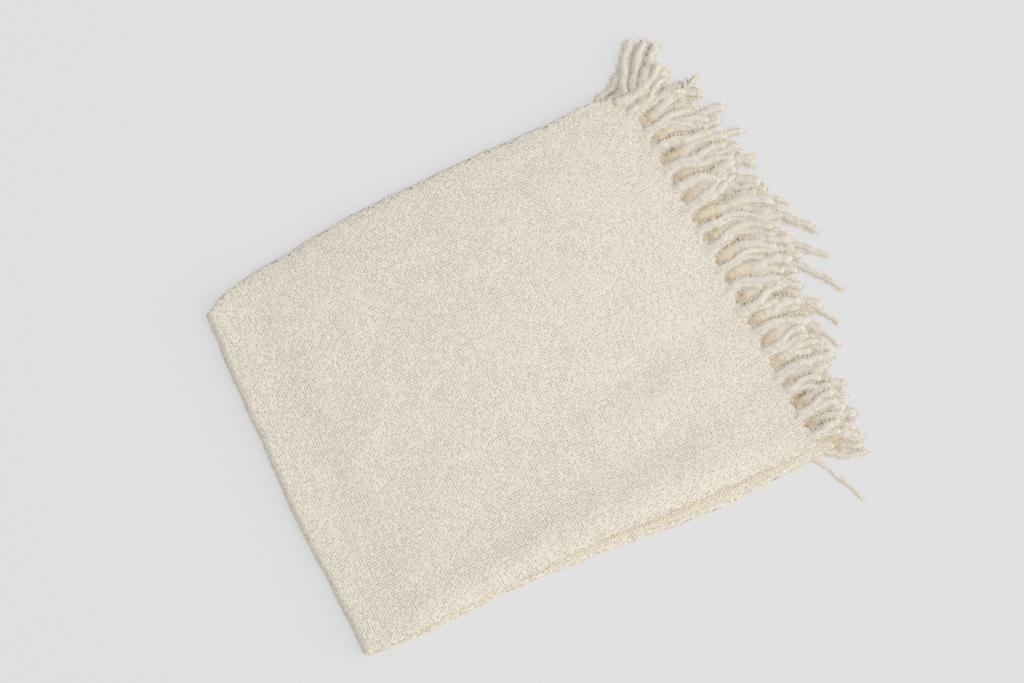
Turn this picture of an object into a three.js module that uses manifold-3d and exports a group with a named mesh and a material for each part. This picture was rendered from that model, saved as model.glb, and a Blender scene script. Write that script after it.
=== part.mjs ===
// A boucle throw, folded in half across its width and then in half along its length.
// Millimetres, +Z up. It lies on its underside, with the origin in the middle of that face.
// +X points to the two fringed ends, which lie together, and +Y to the four selvedges.
import * as THREE from "three";
import Module from "manifold-3d";

const wasm = await Module();
wasm.setup();

const { clamp, degToRad, lerp, smoothstep } = THREE.MathUtils;

// Sheet, as cut and woven
const FLAT_LENGTH = 1520;
const FLAT_WIDTH = 1270;
const SHEET = 4;
const HALF_LENGTH = FLAT_LENGTH / 2;
const HALF_WIDTH = FLAT_WIDTH / 2;
const HALF_SHEET = SHEET / 2;

// Folds, and the air that stays between the layers
const LAYER_GAP = 1.2;
const FLAT_HALF_GAP = (SHEET + LAYER_GAP) / 2;
const SIDE_FOLD_RADIUS = 3.8;
const END_FOLD_RADIUS = 7.5;
const SIDE_FOLD_REACH = 70;
const END_FOLD_REACH = 80;
const PUFF_REACH = 120;

// Top layer's selvedge, which hangs over the layers under it
const DROOP_REACH = 34;
const DROOP_TIP_HEIGHT = 4.5;
const INNER_SETBACK = 24;

// Outline along the throw: where each side's fold and selvedge run, how far the top selvedge
// hangs (1 is down to its tip height), and how much the upper fold is puffed up behind its edge
const OUTLINE = [
  { x: -381, topFold: -270, lowFold: -272, topEdge: 306, lowEdge: 304, droop: 0.0, puff: 0.6 },
  { x: -338, topFold: -276, lowFold: -278, topEdge: 327, lowEdge: 318, droop: 0.5, puff: 0.9 },
  { x: -240, topFold: -279, lowFold: -284, topEdge: 340, lowEdge: 325, droop: 1.0, puff: 0.8 },
  { x: -100, topFold: -280, lowFold: -288, topEdge: 347, lowEdge: 332, droop: 1.0, puff: 1.4 },
  { x: 40, topFold: -285, lowFold: -304, topEdge: 346, lowEdge: 331, droop: 1.0, puff: 2.6 },
  { x: 200, topFold: -300, lowFold: -322, topEdge: 334, lowEdge: 320, droop: 0.9, puff: 3.0 },
  { x: 300, topFold: -305, lowFold: -324, topEdge: 330, lowEdge: 326, droop: 0.3, puff: 2.4 },
  { x: 365, topFold: -308, lowFold: -323, topEdge: 325, lowEdge: 332, droop: 0.0, puff: 1.8 },
  { x: 410, topFold: -309, lowFold: -322, topEdge: 323, lowEdge: 334, droop: 0.0, puff: 1.6 },
];

// Outer face of the end fold, across the throw, and where it lies on the whole
const END_FOLD_X = -381;
const END_FOLD = [
  { y: -275, x: -380 },
  { y: -70, x: -383 },
  { y: 90, x: -377 },
  { y: 230, x: -369 },
  { y: 310, x: -364 },
];

// Soft ridges that lift the layers: middle, reach each way, turn about Z and height on the top layer
const RIDGES = [
  { x: 190, y: -150, reachX: 150, reachY: 42, turn: 3, height: 2.2 },
  { x: 30, y: 60, reachX: 300, reachY: 190, turn: 8, height: 2.6 },
  { x: -230, y: 170, reachX: 90, reachY: 70, turn: 30, height: 1.2 },
  { x: -250, y: -170, reachX: 110, reachY: 60, turn: -12, height: 1.1 },
  { x: 290, y: 170, reachX: 110, reachY: 60, turn: -10, height: 1.4 },
];
const RIDGE_START = 120;

// The four layers: where each one ends, how much of a ridge it takes, the first of its locks
// and their pitch along the edge, their length, and the height at which they come to rest
const LAYERS = {
  lowerOuter: { endX: 410, lift: 0.0, firstLock: -314, pitch: 39.9, lockLength: 122, restHeight: 0 },
  lowerInner: { endX: 402, lift: 0.35, firstLock: -302, pitch: 36.2, lockLength: 118, restHeight: 5 },
  upperInner: { endX: 388, lift: 0.7, firstLock: -284, pitch: 36.2, lockLength: 122, restHeight: 5 },
  upperOuter: { endX: 377, lift: 1.0, firstLock: -289, pitch: 36.2, lockLength: 120, restHeight: 10 },
};
const END_SHIFT_REACH = 60;

// Fringe locks
const STRIP_WIDTH = 7;
const STRIP_GAP = 0.5;
const LOCKS_PER_LAYER = 17;
const LOCK_ROOT_OVERLAP = 4;
const LOCK_WIDTH = 13;
const LOCK_HEIGHT = 4.6;
const LOCK_TIP_SHARE = 0.55;
const LOCK_CREST_SHARE = 0.6;
const LOCK_STEPS = 8;
const LOCK_LENGTH_SPREAD = 14;

// Each lock takes its first heading within a short length. Past a common line the locks bend
// to their last heading and come down, within these distances
const LEAVE_LENGTH = 14;
const FAN_LINE_X = 395;
const BEND_LENGTH = 70;
const FALL_START = 8;
const FALL_END = 90;

// How the locks fan out along the edge: the heading in which each one leaves, the heading that it
// bends to, both in degrees from +X, and its share of length
const FAN = [
  { y: -314, leave: -62, heading: -90, share: 0.86 },
  { y: -300, leave: -6, heading: -40, share: 0.5 },
  { y: -255, leave: 2, heading: -28, share: 0.53 },
  { y: -190, leave: 4, heading: -22, share: 0.5 },
  { y: -50, leave: 5, heading: -34, share: 0.76 },
  { y: 10, leave: 5, heading: -33, share: 0.9 },
  { y: 70, leave: 5, heading: -28, share: 0.98 },
  { y: 180, leave: 6, heading: -17, share: 0.88 },
  { y: 225, leave: 4, heading: -19, share: 0.8 },
  { y: 270, leave: 6, heading: -6, share: 0.73 },
  { y: 300, leave: 14, heading: 28, share: 0.64 },
  { y: 330, leave: 34, heading: 66, share: 0.66 },
];

// Mesh steps, and how much closer the steps along the throw are near its end fold
const RUN_STEPS = 13;
const RUN_GRADING = 1.5;
const SPAN_STEPS = 17;
const END_FOLD_STEPS = 8;
const SIDE_FOLD_STEPS = 6;

const CREAM = 0xe3dccb;
const CREAM_SHADE = 0xd8cdb6;
const QUARTER_TURN = Math.PI / 2;
const SCATTER = { rate: 12.9898, phase: 4.1414, size: 43758.5453 };

// A column of a table read at a place along its key, on a smooth curve through the rows.
function readTable(rows, key, column, at) {
  const last = rows.length - 1;
  const place = clamp(at, rows[0][key], rows[last][key]);
  let row = 0;
  while (row < last - 1 && place > rows[row + 1][key]) {
    row += 1;
  }
  const slopeAt = (index) => {
    const before = rows[Math.max(index - 1, 0)];
    const after = rows[Math.min(index + 1, last)];
    return (after[column] - before[column]) / (after[key] - before[key]);
  };
  const from = rows[row];
  const to = rows[row + 1];
  const span = to[key] - from[key];
  const s = (place - from[key]) / span;
  const blend = s * s * (3 - 2 * s);
  const leaving = s * (1 - s) * (1 - s) * span * slopeAt(row);
  const arriving = s * s * (s - 1) * span * slopeAt(row + 1);
  return lerp(from[column], to[column], blend) + leaving + arriving;
}

// A repeatable number from -1 to 1 for a lock, the same each time.
function scatter(seed) {
  const wave = Math.sin(seed * SCATTER.rate + SCATTER.phase) * SCATTER.size;
  return 2 * (wave - Math.floor(wave)) - 1;
}

// A layer's value, mixed from the four by how far up and how far in a point lies.
function mixLayers(column, upper, inner) {
  const low = lerp(LAYERS.lowerOuter[column], LAYERS.lowerInner[column], inner);
  const high = lerp(LAYERS.upperOuter[column], LAYERS.upperInner[column], inner);
  return lerp(low, high, upper);
}

// Height that the soft ridges add to the top layer.
function ridgeHeight(x, y) {
  let height = 0;
  for (const ridge of RIDGES) {
    const turn = degToRad(ridge.turn);
    const dx = x - ridge.x;
    const dy = y - ridge.y;
    const alongReach = (dx * Math.cos(turn) + dy * Math.sin(turn)) / ridge.reachX;
    const acrossReach = (dy * Math.cos(turn) - dx * Math.sin(turn)) / ridge.reachY;
    height += ridge.height * Math.exp(-alongReach * alongReach - acrossReach * acrossReach);
  }
  return height;
}

// Half the height of a folded pair of layers, at a distance in from its fold.
function halfGap(inward) {
  const closing = smoothstep(inward, 0, SIDE_FOLD_REACH);
  return lerp(SIDE_FOLD_RADIUS, FLAT_HALF_GAP, closing);
}

// A point of the cloth's middle surface. along runs from the lower fringed end, past the end
// fold at 0, to the upper one; across runs from the outer selvedge, past the side fold at 0,
// to the inner one. Both are in millimetres on the flat cloth.
function clothPoint(along, across) {
  const endArc = QUARTER_TURN * END_FOLD_RADIUS;
  const sideArc = QUARTER_TURN * SIDE_FOLD_RADIUS;
  const endTurn = clamp(along / END_FOLD_RADIUS, -QUARTER_TURN, QUARTER_TURN);
  const sideTurn = clamp(across / SIDE_FOLD_RADIUS, -QUARTER_TURN, QUARTER_TURN);
  const runShare = Math.max(0, Math.abs(along) - endArc) / (HALF_LENGTH - endArc);
  const spanShare = Math.max(0, Math.abs(across) - sideArc) / (HALF_WIDTH - sideArc);
  const upper = (1 + Math.sin(endTurn)) / 2;
  const inner = (1 + Math.sin(sideTurn)) / 2;

  // Plan
  const endX = mixLayers("endX", upper, smoothstep(across, -END_SHIFT_REACH, END_SHIFT_REACH));
  const foldInset = END_FOLD_RADIUS + FLAT_HALF_GAP + HALF_SHEET;
  const rowX = lerp(END_FOLD_X + foldInset, endX, runShare);
  const column = (name) => readTable(OUTLINE, "x", name, rowX);
  const lowCentre = column("lowFold") + HALF_SHEET + SIDE_FOLD_RADIUS;
  const topCentre = column("topFold") + HALF_SHEET + SIDE_FOLD_RADIUS;
  const foldCentre = lerp(lowCentre, topCentre, upper);
  const lowEdge = column("lowEdge");
  const topEdge = column("topEdge");
  const outerEdge = lerp(lowEdge, topEdge, upper);
  const innerEdge = Math.min(lowEdge, topEdge) - INNER_SETBACK * column("droop") - LAYER_GAP;
  const edge = lerp(outerEdge, innerEdge, inner);
  const y = lerp(foldCentre, edge, spanShare) - SIDE_FOLD_RADIUS * Math.cos(sideTurn);
  const foldX = readTable(END_FOLD, "y", "x", y) + foldInset;
  const pathX = lerp(foldX, endX, runShare) - END_FOLD_RADIUS * Math.cos(endTurn);

  // Height
  const puffing = Math.sin(Math.PI * clamp((y - topCentre) / PUFF_REACH, 0, 1));
  const lowHalf = halfGap(y - lowCentre);
  const topHalf = halfGap(y - topCentre) + column("puff") * puffing * puffing;
  const half = lerp(lowHalf, topHalf, upper) * Math.sin(sideTurn);
  const fromFold = runShare * (endX - foldX);
  const closing = smoothstep(fromFold, 0, END_FOLD_REACH);
  const stacked = lowHalf + topHalf + SHEET + LAYER_GAP;
  const apart = lerp(Math.max(2 * END_FOLD_RADIUS, stacked), stacked, closing);
  const pathZ = HALF_SHEET + lowHalf + apart * upper;
  const x = pathX + half * Math.cos(endTurn);
  const lift = mixLayers("lift", upper, inner) * smoothstep(fromFold, 0, RIDGE_START);
  const flatZ = pathZ - half * Math.sin(endTurn) + lift * ridgeHeight(x, y);

  // The top selvedge's quarter-round hang
  const overhang = clamp(1 - (edge - y) / DROOP_REACH, 0, 1);
  const hang = column("droop") * upper * (1 - inner) * (1 - Math.sqrt(1 - overhang * overhang));
  return new THREE.Vector3(x, y, lerp(flatZ, DROOP_TIP_HEIGHT, hang));
}

// Places along the flat cloth on both sides of a fold: close in the fold, then as spacing gives.
function stations(halfSize, radius, foldSteps, runSteps, spacing) {
  const arc = QUARTER_TURN * radius;
  const places = [];
  for (let step = runSteps; step > 0; step -= 1) {
    places.push(-lerp(arc, halfSize, spacing(step / runSteps)));
  }
  for (let step = 0; step <= foldSteps; step += 1) {
    places.push(lerp(-arc, arc, step / foldSteps));
  }
  for (let step = 1; step <= runSteps; step += 1) {
    places.push(lerp(arc, halfSize, spacing(step / runSteps)));
  }
  return places;
}

// A closed geometry through a row of loops of one length. Each end is capped by joining the
// points that face each other across its loop.
function loft(loops) {
  const size = loops[0].length;
  const last = (loops.length - 1) * size;
  const index = [];
  const quad = (a, b, c, d) => index.push(a, b, c, a, c, d);
  for (let base = 0; base < last; base += size) {
    for (let j = 0; j < size; j += 1) {
      const next = (j + 1) % size;
      quad(base + j, base + next, base + size + next, base + size + j);
    }
  }
  for (let j = 0; j < size / 2 - 1; j += 1) {
    quad(j, size - 1 - j, size - 2 - j, j + 1);
    quad(last + j, last + j + 1, last + size - 2 - j, last + size - 1 - j);
  }
  const geometry = new THREE.BufferGeometry().setFromPoints(loops.flat());
  geometry.setIndex(index);
  return geometry;
}

// A sheet of even thickness about a grid of points, each row a section across the cloth.
function sheetAbout(grid) {
  const near = (list, k) => list[clamp(k, 0, list.length - 1)];
  const loops = grid.map((row, i) => {
    const offsets = row.map((point, j) => {
      const forward = near(grid, i + 1)[j].clone().sub(near(grid, i - 1)[j]);
      const sideways = near(row, j + 1).clone().sub(near(row, j - 1));
      return forward.cross(sideways).setLength(HALF_SHEET);
    });
    const outerFace = row.map((point, j) => point.clone().sub(offsets[j]));
    const innerFace = row.map((point, j) => point.clone().add(offsets[j]));
    return [...outerFace, ...innerFace.reverse()];
  });
  return loft(loops);
}

// A geometry as a solid that can be joined.
function solidOf(geometry) {
  const vertProperties = new Float32Array(geometry.attributes.position.array);
  const triVerts = new Uint32Array(geometry.index.array);
  return new wasm.Manifold(new wasm.Mesh({ numProp: 3, vertProperties, triVerts }));
}

// A joined solid as a geometry.
function geometryOf(solid) {
  const { vertProperties, triVerts } = solid.getMesh();
  const geometry = new THREE.BufferGeometry();
  geometry.setAttribute("position", new THREE.BufferAttribute(vertProperties, 3));
  geometry.setIndex(new THREE.BufferAttribute(triVerts, 1));
  return geometry;
}

const acrossStations = stations(
  HALF_WIDTH,
  SIDE_FOLD_RADIUS,
  SIDE_FOLD_STEPS,
  SPAN_STEPS,
  (share) => (1 - Math.cos(Math.PI * share)) / 2,
);

// The woven sheet in its two folds.
function foldedCloth() {
  const alongStations = stations(
    HALF_LENGTH,
    END_FOLD_RADIUS,
    END_FOLD_STEPS,
    RUN_STEPS,
    (share) => share ** RUN_GRADING,
  );
  return sheetAbout(
    alongStations.map((along) => acrossStations.map((across) => clothPoint(along, across))),
  );
}

// The narrow strip at one end of the cloth that holds the roots of its locks.
function rootStrip(endAlong) {
  const section = acrossStations.map((across) => clothPoint(endAlong, across));
  const shifted = (distance) => {
    return section.map((point) => point.clone().setX(point.x + distance));
  };
  const rows = [shifted(STRIP_GAP), shifted(STRIP_GAP + STRIP_WIDTH)];
  return sheetAbout(endAlong > 0 ? rows : rows.reverse());
}

// The place on a layer's fringed end where a lock is rooted.
function lockRoot(endAlong, side, y) {
  const sideArc = QUARTER_TURN * SIDE_FOLD_RADIUS;
  const foldY = clothPoint(endAlong, side * sideArc).y;
  const edgeY = clothPoint(endAlong, side * HALF_WIDTH).y;
  return clothPoint(endAlong, side * lerp(sideArc, HALF_WIDTH, (y - foldY) / (edgeY - foldY)));
}

// One lock: a four-sided tapering length that leaves the strip, bends with the fan and comes
// down to where it rests.
function lock(root, restHeight, length) {
  const step = length / LOCK_STEPS;
  const leave = degToRad(readTable(FAN, "y", "leave", root.y));
  const bend = degToRad(readTable(FAN, "y", "heading", root.y));
  const place = new THREE.Vector2(root.x + STRIP_GAP + STRIP_WIDTH - LOCK_ROOT_OVERLAP, root.y);
  const startReach = place.x - FAN_LINE_X;
  const rootFloor = root.z - HALF_SHEET;
  const loops = [];
  for (let index = 0; index <= LOCK_STEPS; index += 1) {
    const share = index / LOCK_STEPS;
    const reach = startReach + index * step;
    const turned = lerp(leave, bend, smoothstep(reach, 0, BEND_LENGTH));
    const heading = turned * smoothstep(index * step, 0, LEAVE_LENGTH);
    const fall = smoothstep(reach, FALL_START, FALL_END);
    const floor = lerp(rootFloor, restHeight, fall);
    const crest = floor + lerp(SHEET, LOCK_HEIGHT, fall) * lerp(1, LOCK_TIP_SHARE, share ** 3);
    const halfWidth = (LOCK_WIDTH / 2) * lerp(1, LOCK_TIP_SHARE, share ** 2);
    const halfCrest = halfWidth * LOCK_CREST_SHARE;
    const sideX = -Math.sin(heading);
    const sideY = Math.cos(heading);
    const corner = (offset, z) => {
      return new THREE.Vector3(place.x + sideX * offset, place.y + sideY * offset, z);
    };
    loops.push([
      corner(halfWidth, floor),
      corner(halfCrest, crest),
      corner(-halfCrest, crest),
      corner(-halfWidth, floor),
    ]);
    place.add(new THREE.Vector2(Math.cos(heading), Math.sin(heading)).multiplyScalar(step));
  }
  return loft(loops);
}

// The fringe of one end: its strip with the locks of an outer and an inner layer.
function fringe(endAlong, outerLayer, innerLayer) {
  let solid = solidOf(rootStrip(endAlong));
  for (const [side, layer] of [[-1, outerLayer], [1, innerLayer]]) {
    for (let index = 0; index < LOCKS_PER_LAYER; index += 1) {
      const root = lockRoot(endAlong, side, layer.firstLock + index * layer.pitch);
      const share = readTable(FAN, "y", "share", root.y);
      const length = share * layer.lockLength + LOCK_LENGTH_SPREAD * scatter(index + layer.endX);
      solid = solid.add(solidOf(lock(root, layer.restHeight, length)));
    }
  }
  return geometryOf(solid);
}

// A named piece of the throw.
function piece(name, geometry, color) {
  const material = new THREE.MeshStandardMaterial({ color, roughness: 0.95, metalness: 0 });
  const mesh = new THREE.Mesh(geometry, material);
  mesh.name = name;
  return mesh;
}

const boucleThrow = new THREE.Group();
boucleThrow.add(piece("folded_cloth", foldedCloth(), CREAM));
boucleThrow.add(
  piece("fringe_upper", fringe(HALF_LENGTH, LAYERS.upperOuter, LAYERS.upperInner), CREAM_SHADE),
);
boucleThrow.add(
  piece("fringe_lower", fringe(-HALF_LENGTH, LAYERS.lowerOuter, LAYERS.lowerInner), CREAM_SHADE),
);

export default boucleThrow;
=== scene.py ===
"""A cream boucle throw, folded twice, with a fringe of fluffy locks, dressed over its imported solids.

Sizes are in millimetres, in the throw's own frame: +X to the fringed ends, +Y to the selvedges, +Z up
from the floor. Meshes are made in metres.
"""

import logging
import math
from dataclasses import dataclass
from dataclasses import field
from enum import Enum
from typing import NamedTuple

import bpy
import numpy as np
from mathutils import Matrix
from mathutils import Vector


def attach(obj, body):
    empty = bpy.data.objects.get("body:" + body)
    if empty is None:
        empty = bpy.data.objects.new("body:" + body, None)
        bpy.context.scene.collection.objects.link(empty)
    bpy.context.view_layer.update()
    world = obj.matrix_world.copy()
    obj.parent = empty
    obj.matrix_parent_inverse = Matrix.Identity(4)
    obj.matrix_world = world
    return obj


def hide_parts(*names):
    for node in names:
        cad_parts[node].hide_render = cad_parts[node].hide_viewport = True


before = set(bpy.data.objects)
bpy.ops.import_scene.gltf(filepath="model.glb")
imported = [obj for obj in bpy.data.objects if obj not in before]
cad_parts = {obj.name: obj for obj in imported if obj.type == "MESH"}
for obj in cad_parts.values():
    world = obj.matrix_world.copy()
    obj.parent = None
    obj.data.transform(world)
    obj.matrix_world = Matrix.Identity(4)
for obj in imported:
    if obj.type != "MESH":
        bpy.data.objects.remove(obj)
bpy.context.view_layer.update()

LOG = logging.getLogger("boucle_throw")
MM = 0.001
QUARTER_TURN = math.pi / 2
FULL_LIGHT = 1.0
Array = np.ndarray
Place = tuple[float, float, float]
Shade = tuple[float, float, float, float]


class Face(Enum):
    """The two faces of the cloth: the one that shows on top and round the folds, and the other."""

    OUTER = -1.0
    INNER = 1.0


class End(Enum):
    """The two fringed ends of the cloth, by the direction in which the flat cloth runs to them."""

    LOWER = -1.0
    UPPER = 1.0


class Wander(Enum):
    """Where the small wander of each fold and edge starts, so that no two are alike."""

    LOW_FOLD = 0.4
    TOP_FOLD = 1.7
    LOW_EDGE = 2.9
    TOP_EDGE = 4.2
    END_FOLD = 5.5


class OutlineRow(NamedTuple):
    """Folds and selvedges at one place along the throw, with the top selvedge's hang and the puff."""

    x: float
    top_fold: float
    low_fold: float
    top_edge: float
    low_edge: float
    droop: float
    puff: float


class EndFoldRow(NamedTuple):
    """The outer face of the end fold at one place across the throw."""

    y: float
    x: float


class Swell(NamedTuple):
    """A soft ridge, or a trough where its height is below nought, that the layers lie in."""

    x: float
    y: float
    reach_x: float
    reach_y: float
    turn: float
    height: float


class LayerRow(NamedTuple):
    """One layer: its end, its share of a ridge, its locks' lanes and length, and where they rest."""

    end_x: float
    lift: float
    first_lock: float
    pitch: float
    lock_length: float
    rest_height: float


class FanRow(NamedTuple):
    """How a lock rooted at a place across the throw leaves and bends, and its length and girth."""

    y: float
    leave: float
    heading: float
    share: float
    girth: float


class Layer(Enum):
    """The four layers, two to each fringed end."""

    LOWER_OUTER = LayerRow(410, 0.0, -314, 39.9, 122, 0)
    LOWER_INNER = LayerRow(402, 0.35, -302, 36.2, 118, 5)
    UPPER_INNER = LayerRow(388, 0.7, -271, 36.2, 122, 8)
    UPPER_OUTER = LayerRow(377, 1.0, -289, 36.2, 120, 10)


OUTLINE = (
    OutlineRow(-381, -270, -272, 306, 304, 0.0, 0.6),
    OutlineRow(-338, -276, -278, 327, 318, 0.5, 0.9),
    OutlineRow(-240, -279, -284, 340, 325, 1.0, 0.8),
    OutlineRow(-100, -280, -288, 347, 332, 1.0, 1.4),
    OutlineRow(40, -285, -304, 346, 331, 1.0, 2.6),
    OutlineRow(200, -300, -322, 338, 320, 0.9, 3.0),
    OutlineRow(300, -305, -324, 334, 326, 0.3, 2.4),
    OutlineRow(365, -308, -323, 327, 332, 0.0, 1.8),
    OutlineRow(410, -309, -322, 323, 334, 0.0, 1.6),
)

END_FOLD = (
    EndFoldRow(-275, -380),
    EndFoldRow(-70, -383),
    EndFoldRow(90, -377),
    EndFoldRow(230, -369),
    EndFoldRow(310, -364),
)

SWELLS = (
    Swell(190, -150, 150, 42, 3, 2.2),
    Swell(30, 60, 300, 190, 8, 2.6),
    Swell(-230, 170, 90, 70, 30, 1.2),
    Swell(-250, -170, 110, 60, -12, 1.1),
    Swell(290, 170, 110, 60, -10, 1.4),
)

CREASES = (
    Swell(160, -274, 200, 24, -4, 3.0),
    Swell(-220, -258, 150, 22, 2, 1.4),
    Swell(110, -209, 150, 27, -5, -4.4),
    Swell(-70, -212, 90, 20, 1, -1.6),
    Swell(200, -84, 90, 26, 6, -2.2),
    Swell(-210, 40, 120, 22, 38, 0.6),
    Swell(-150, 215, 130, 20, 6, -0.6),
    Swell(120, 250, 150, 24, -4, 0.5),
    Swell(330, 60, 30, 110, 6, 0.8),
    Swell(300, -60, 26, 90, -8, -0.6),
)

FAN = (
    FanRow(-314, -16, -34, 0.40, 0.8),
    FanRow(-300, -6, -40, 0.50, 0.9),
    FanRow(-255, 2, -28, 0.53, 1.0),
    FanRow(-190, 4, -22, 0.50, 1.0),
    FanRow(-50, 5, -34, 0.76, 1.0),
    FanRow(10, 5, -33, 0.90, 1.0),
    FanRow(70, 5, -28, 0.98, 1.0),
    FanRow(180, 6, -17, 0.88, 1.0),
    FanRow(225, 4, -19, 0.80, 1.0),
    FanRow(270, 6, -6, 0.73, 1.05),
    FanRow(300, 14, 28, 0.64, 1.15),
    FanRow(330, 34, 66, 0.66, 1.15),
)


def lerp(start: Array | float, stop: Array | float, share: Array | float) -> Array | float:
    """Gives the value at a share of the way from start to stop."""
    return start + (stop - start) * share


def smoothstep(value: Array | float, start: float, stop: float) -> Array:
    """Gives 0 before start, 1 past stop and a soft rise between."""
    share = np.clip((np.asarray(value, float) - start) / (stop - start), 0.0, 1.0)
    return share * share * (3.0 - 2.0 * share)


def read_table(rows: tuple, column: str, at: Array | float) -> Array:
    """Reads a column of a table on a smooth curve through its rows.

    Args:
        rows: The table, whose first column is the key, rising.
        column: The column to read.
        at: Places along the key.

    Returns:
        The column's value at each place.
    """
    keys = np.array([row[0] for row in rows], float)
    values = np.array([getattr(row, column) for row in rows], float)
    last = len(rows) - 1
    order = np.arange(len(rows))
    before = np.maximum(order - 1, 0)
    after = np.minimum(order + 1, last)
    slopes = (values[after] - values[before]) / (keys[after] - keys[before])
    place = np.clip(at, keys[0], keys[-1])
    row = np.clip(np.searchsorted(keys, place) - 1, 0, last - 1)
    span = keys[row + 1] - keys[row]
    share = (place - keys[row]) / span
    blend = share * share * (3.0 - 2.0 * share)
    leaving = share * (1.0 - share) ** 2 * span * slopes[row]
    arriving = share**2 * (share - 1.0) * span * slopes[row + 1]
    return lerp(values[row], values[row + 1], blend) + leaving + arriving


def swell_height(rows: tuple[Swell, ...], x: Array, y: Array) -> Array:
    """Adds up the heights of soft ridges and troughs at places on the throw.

    Args:
        rows: The ridges and troughs.
        x: Places along the throw.
        y: Places across it.

    Returns:
        The height at each place.
    """
    height = np.zeros(np.shape(x))
    for row in rows:
        turn = math.radians(row.turn)
        along = ((x - row.x) * math.cos(turn) + (y - row.y) * math.sin(turn)) / row.reach_x
        across = ((y - row.y) * math.cos(turn) - (x - row.x) * math.sin(turn)) / row.reach_y
        height = height + row.height * np.exp(-along * along - across * across)
    return height


def unit(vectors: Array) -> Array:
    """Scales vectors to a length of one."""
    return vectors / np.maximum(np.linalg.norm(vectors, axis=-1, keepdims=True), 1e-9)


def even_places(places: Array, points: Array, pitch: float) -> Array:
    """Finds places an even distance apart along a line of points.

    Args:
        places: The place of each point on the flat cloth.
        points: The points that the line runs through.
        pitch: The distance wanted between two places.

    Returns:
        The places on the flat cloth, from the line's start.
    """
    steps = np.linalg.norm(np.diff(points, axis=0), axis=1)
    distance = np.concatenate([[0.0], np.cumsum(steps)])
    return np.interp(np.arange(0.0, distance[-1], pitch), distance, places)


@dataclass(frozen=True)
class PatchNoise:
    """Soft random patches on the cloth, the same each time."""

    seed: int
    cell: float
    shift: float
    size: int = 64

    def at(self, u: Array, v: Array) -> Array:
        """Reads the patches.

        Args:
            u: Places along the cloth.
            v: Places across it.

        Returns:
            A value from -1 to 1 for each place.
        """
        grid = np.random.default_rng(self.seed).uniform(-1.0, 1.0, (self.size, self.size))
        column = (np.asarray(u, float) + self.shift) / self.cell
        row = (np.asarray(v, float) + self.shift) / self.cell
        left = np.floor(column).astype(int)
        low = np.floor(row).astype(int)
        along = smoothstep(column - left, 0.0, 1.0)
        across = smoothstep(row - low, 0.0, 1.0)

        def corner(i: Array, j: Array) -> Array:
            """Reads the value kept for a corner of a cell."""
            return grid[i % self.size, j % self.size]

        near = lerp(corner(left, low), corner(left + 1, low), along)
        far = lerp(corner(left, low + 1), corner(left + 1, low + 1), along)
        return lerp(near, far, across)


BROAD_RIPPLES = PatchNoise(5, 62.0, 900.0)
CLOSE_RIPPLES = PatchNoise(9, 27.0, 900.0)
DRIFT_ALONG = PatchNoise(51, 33.0, 1000.0)
DRIFT_ACROSS = PatchNoise(53, 33.0, 1000.0)
BROAD_FLUFF = PatchNoise(31, 30.0, 1000.0)
CLOSE_FLUFF = PatchNoise(37, 11.0, 1000.0)


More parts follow.
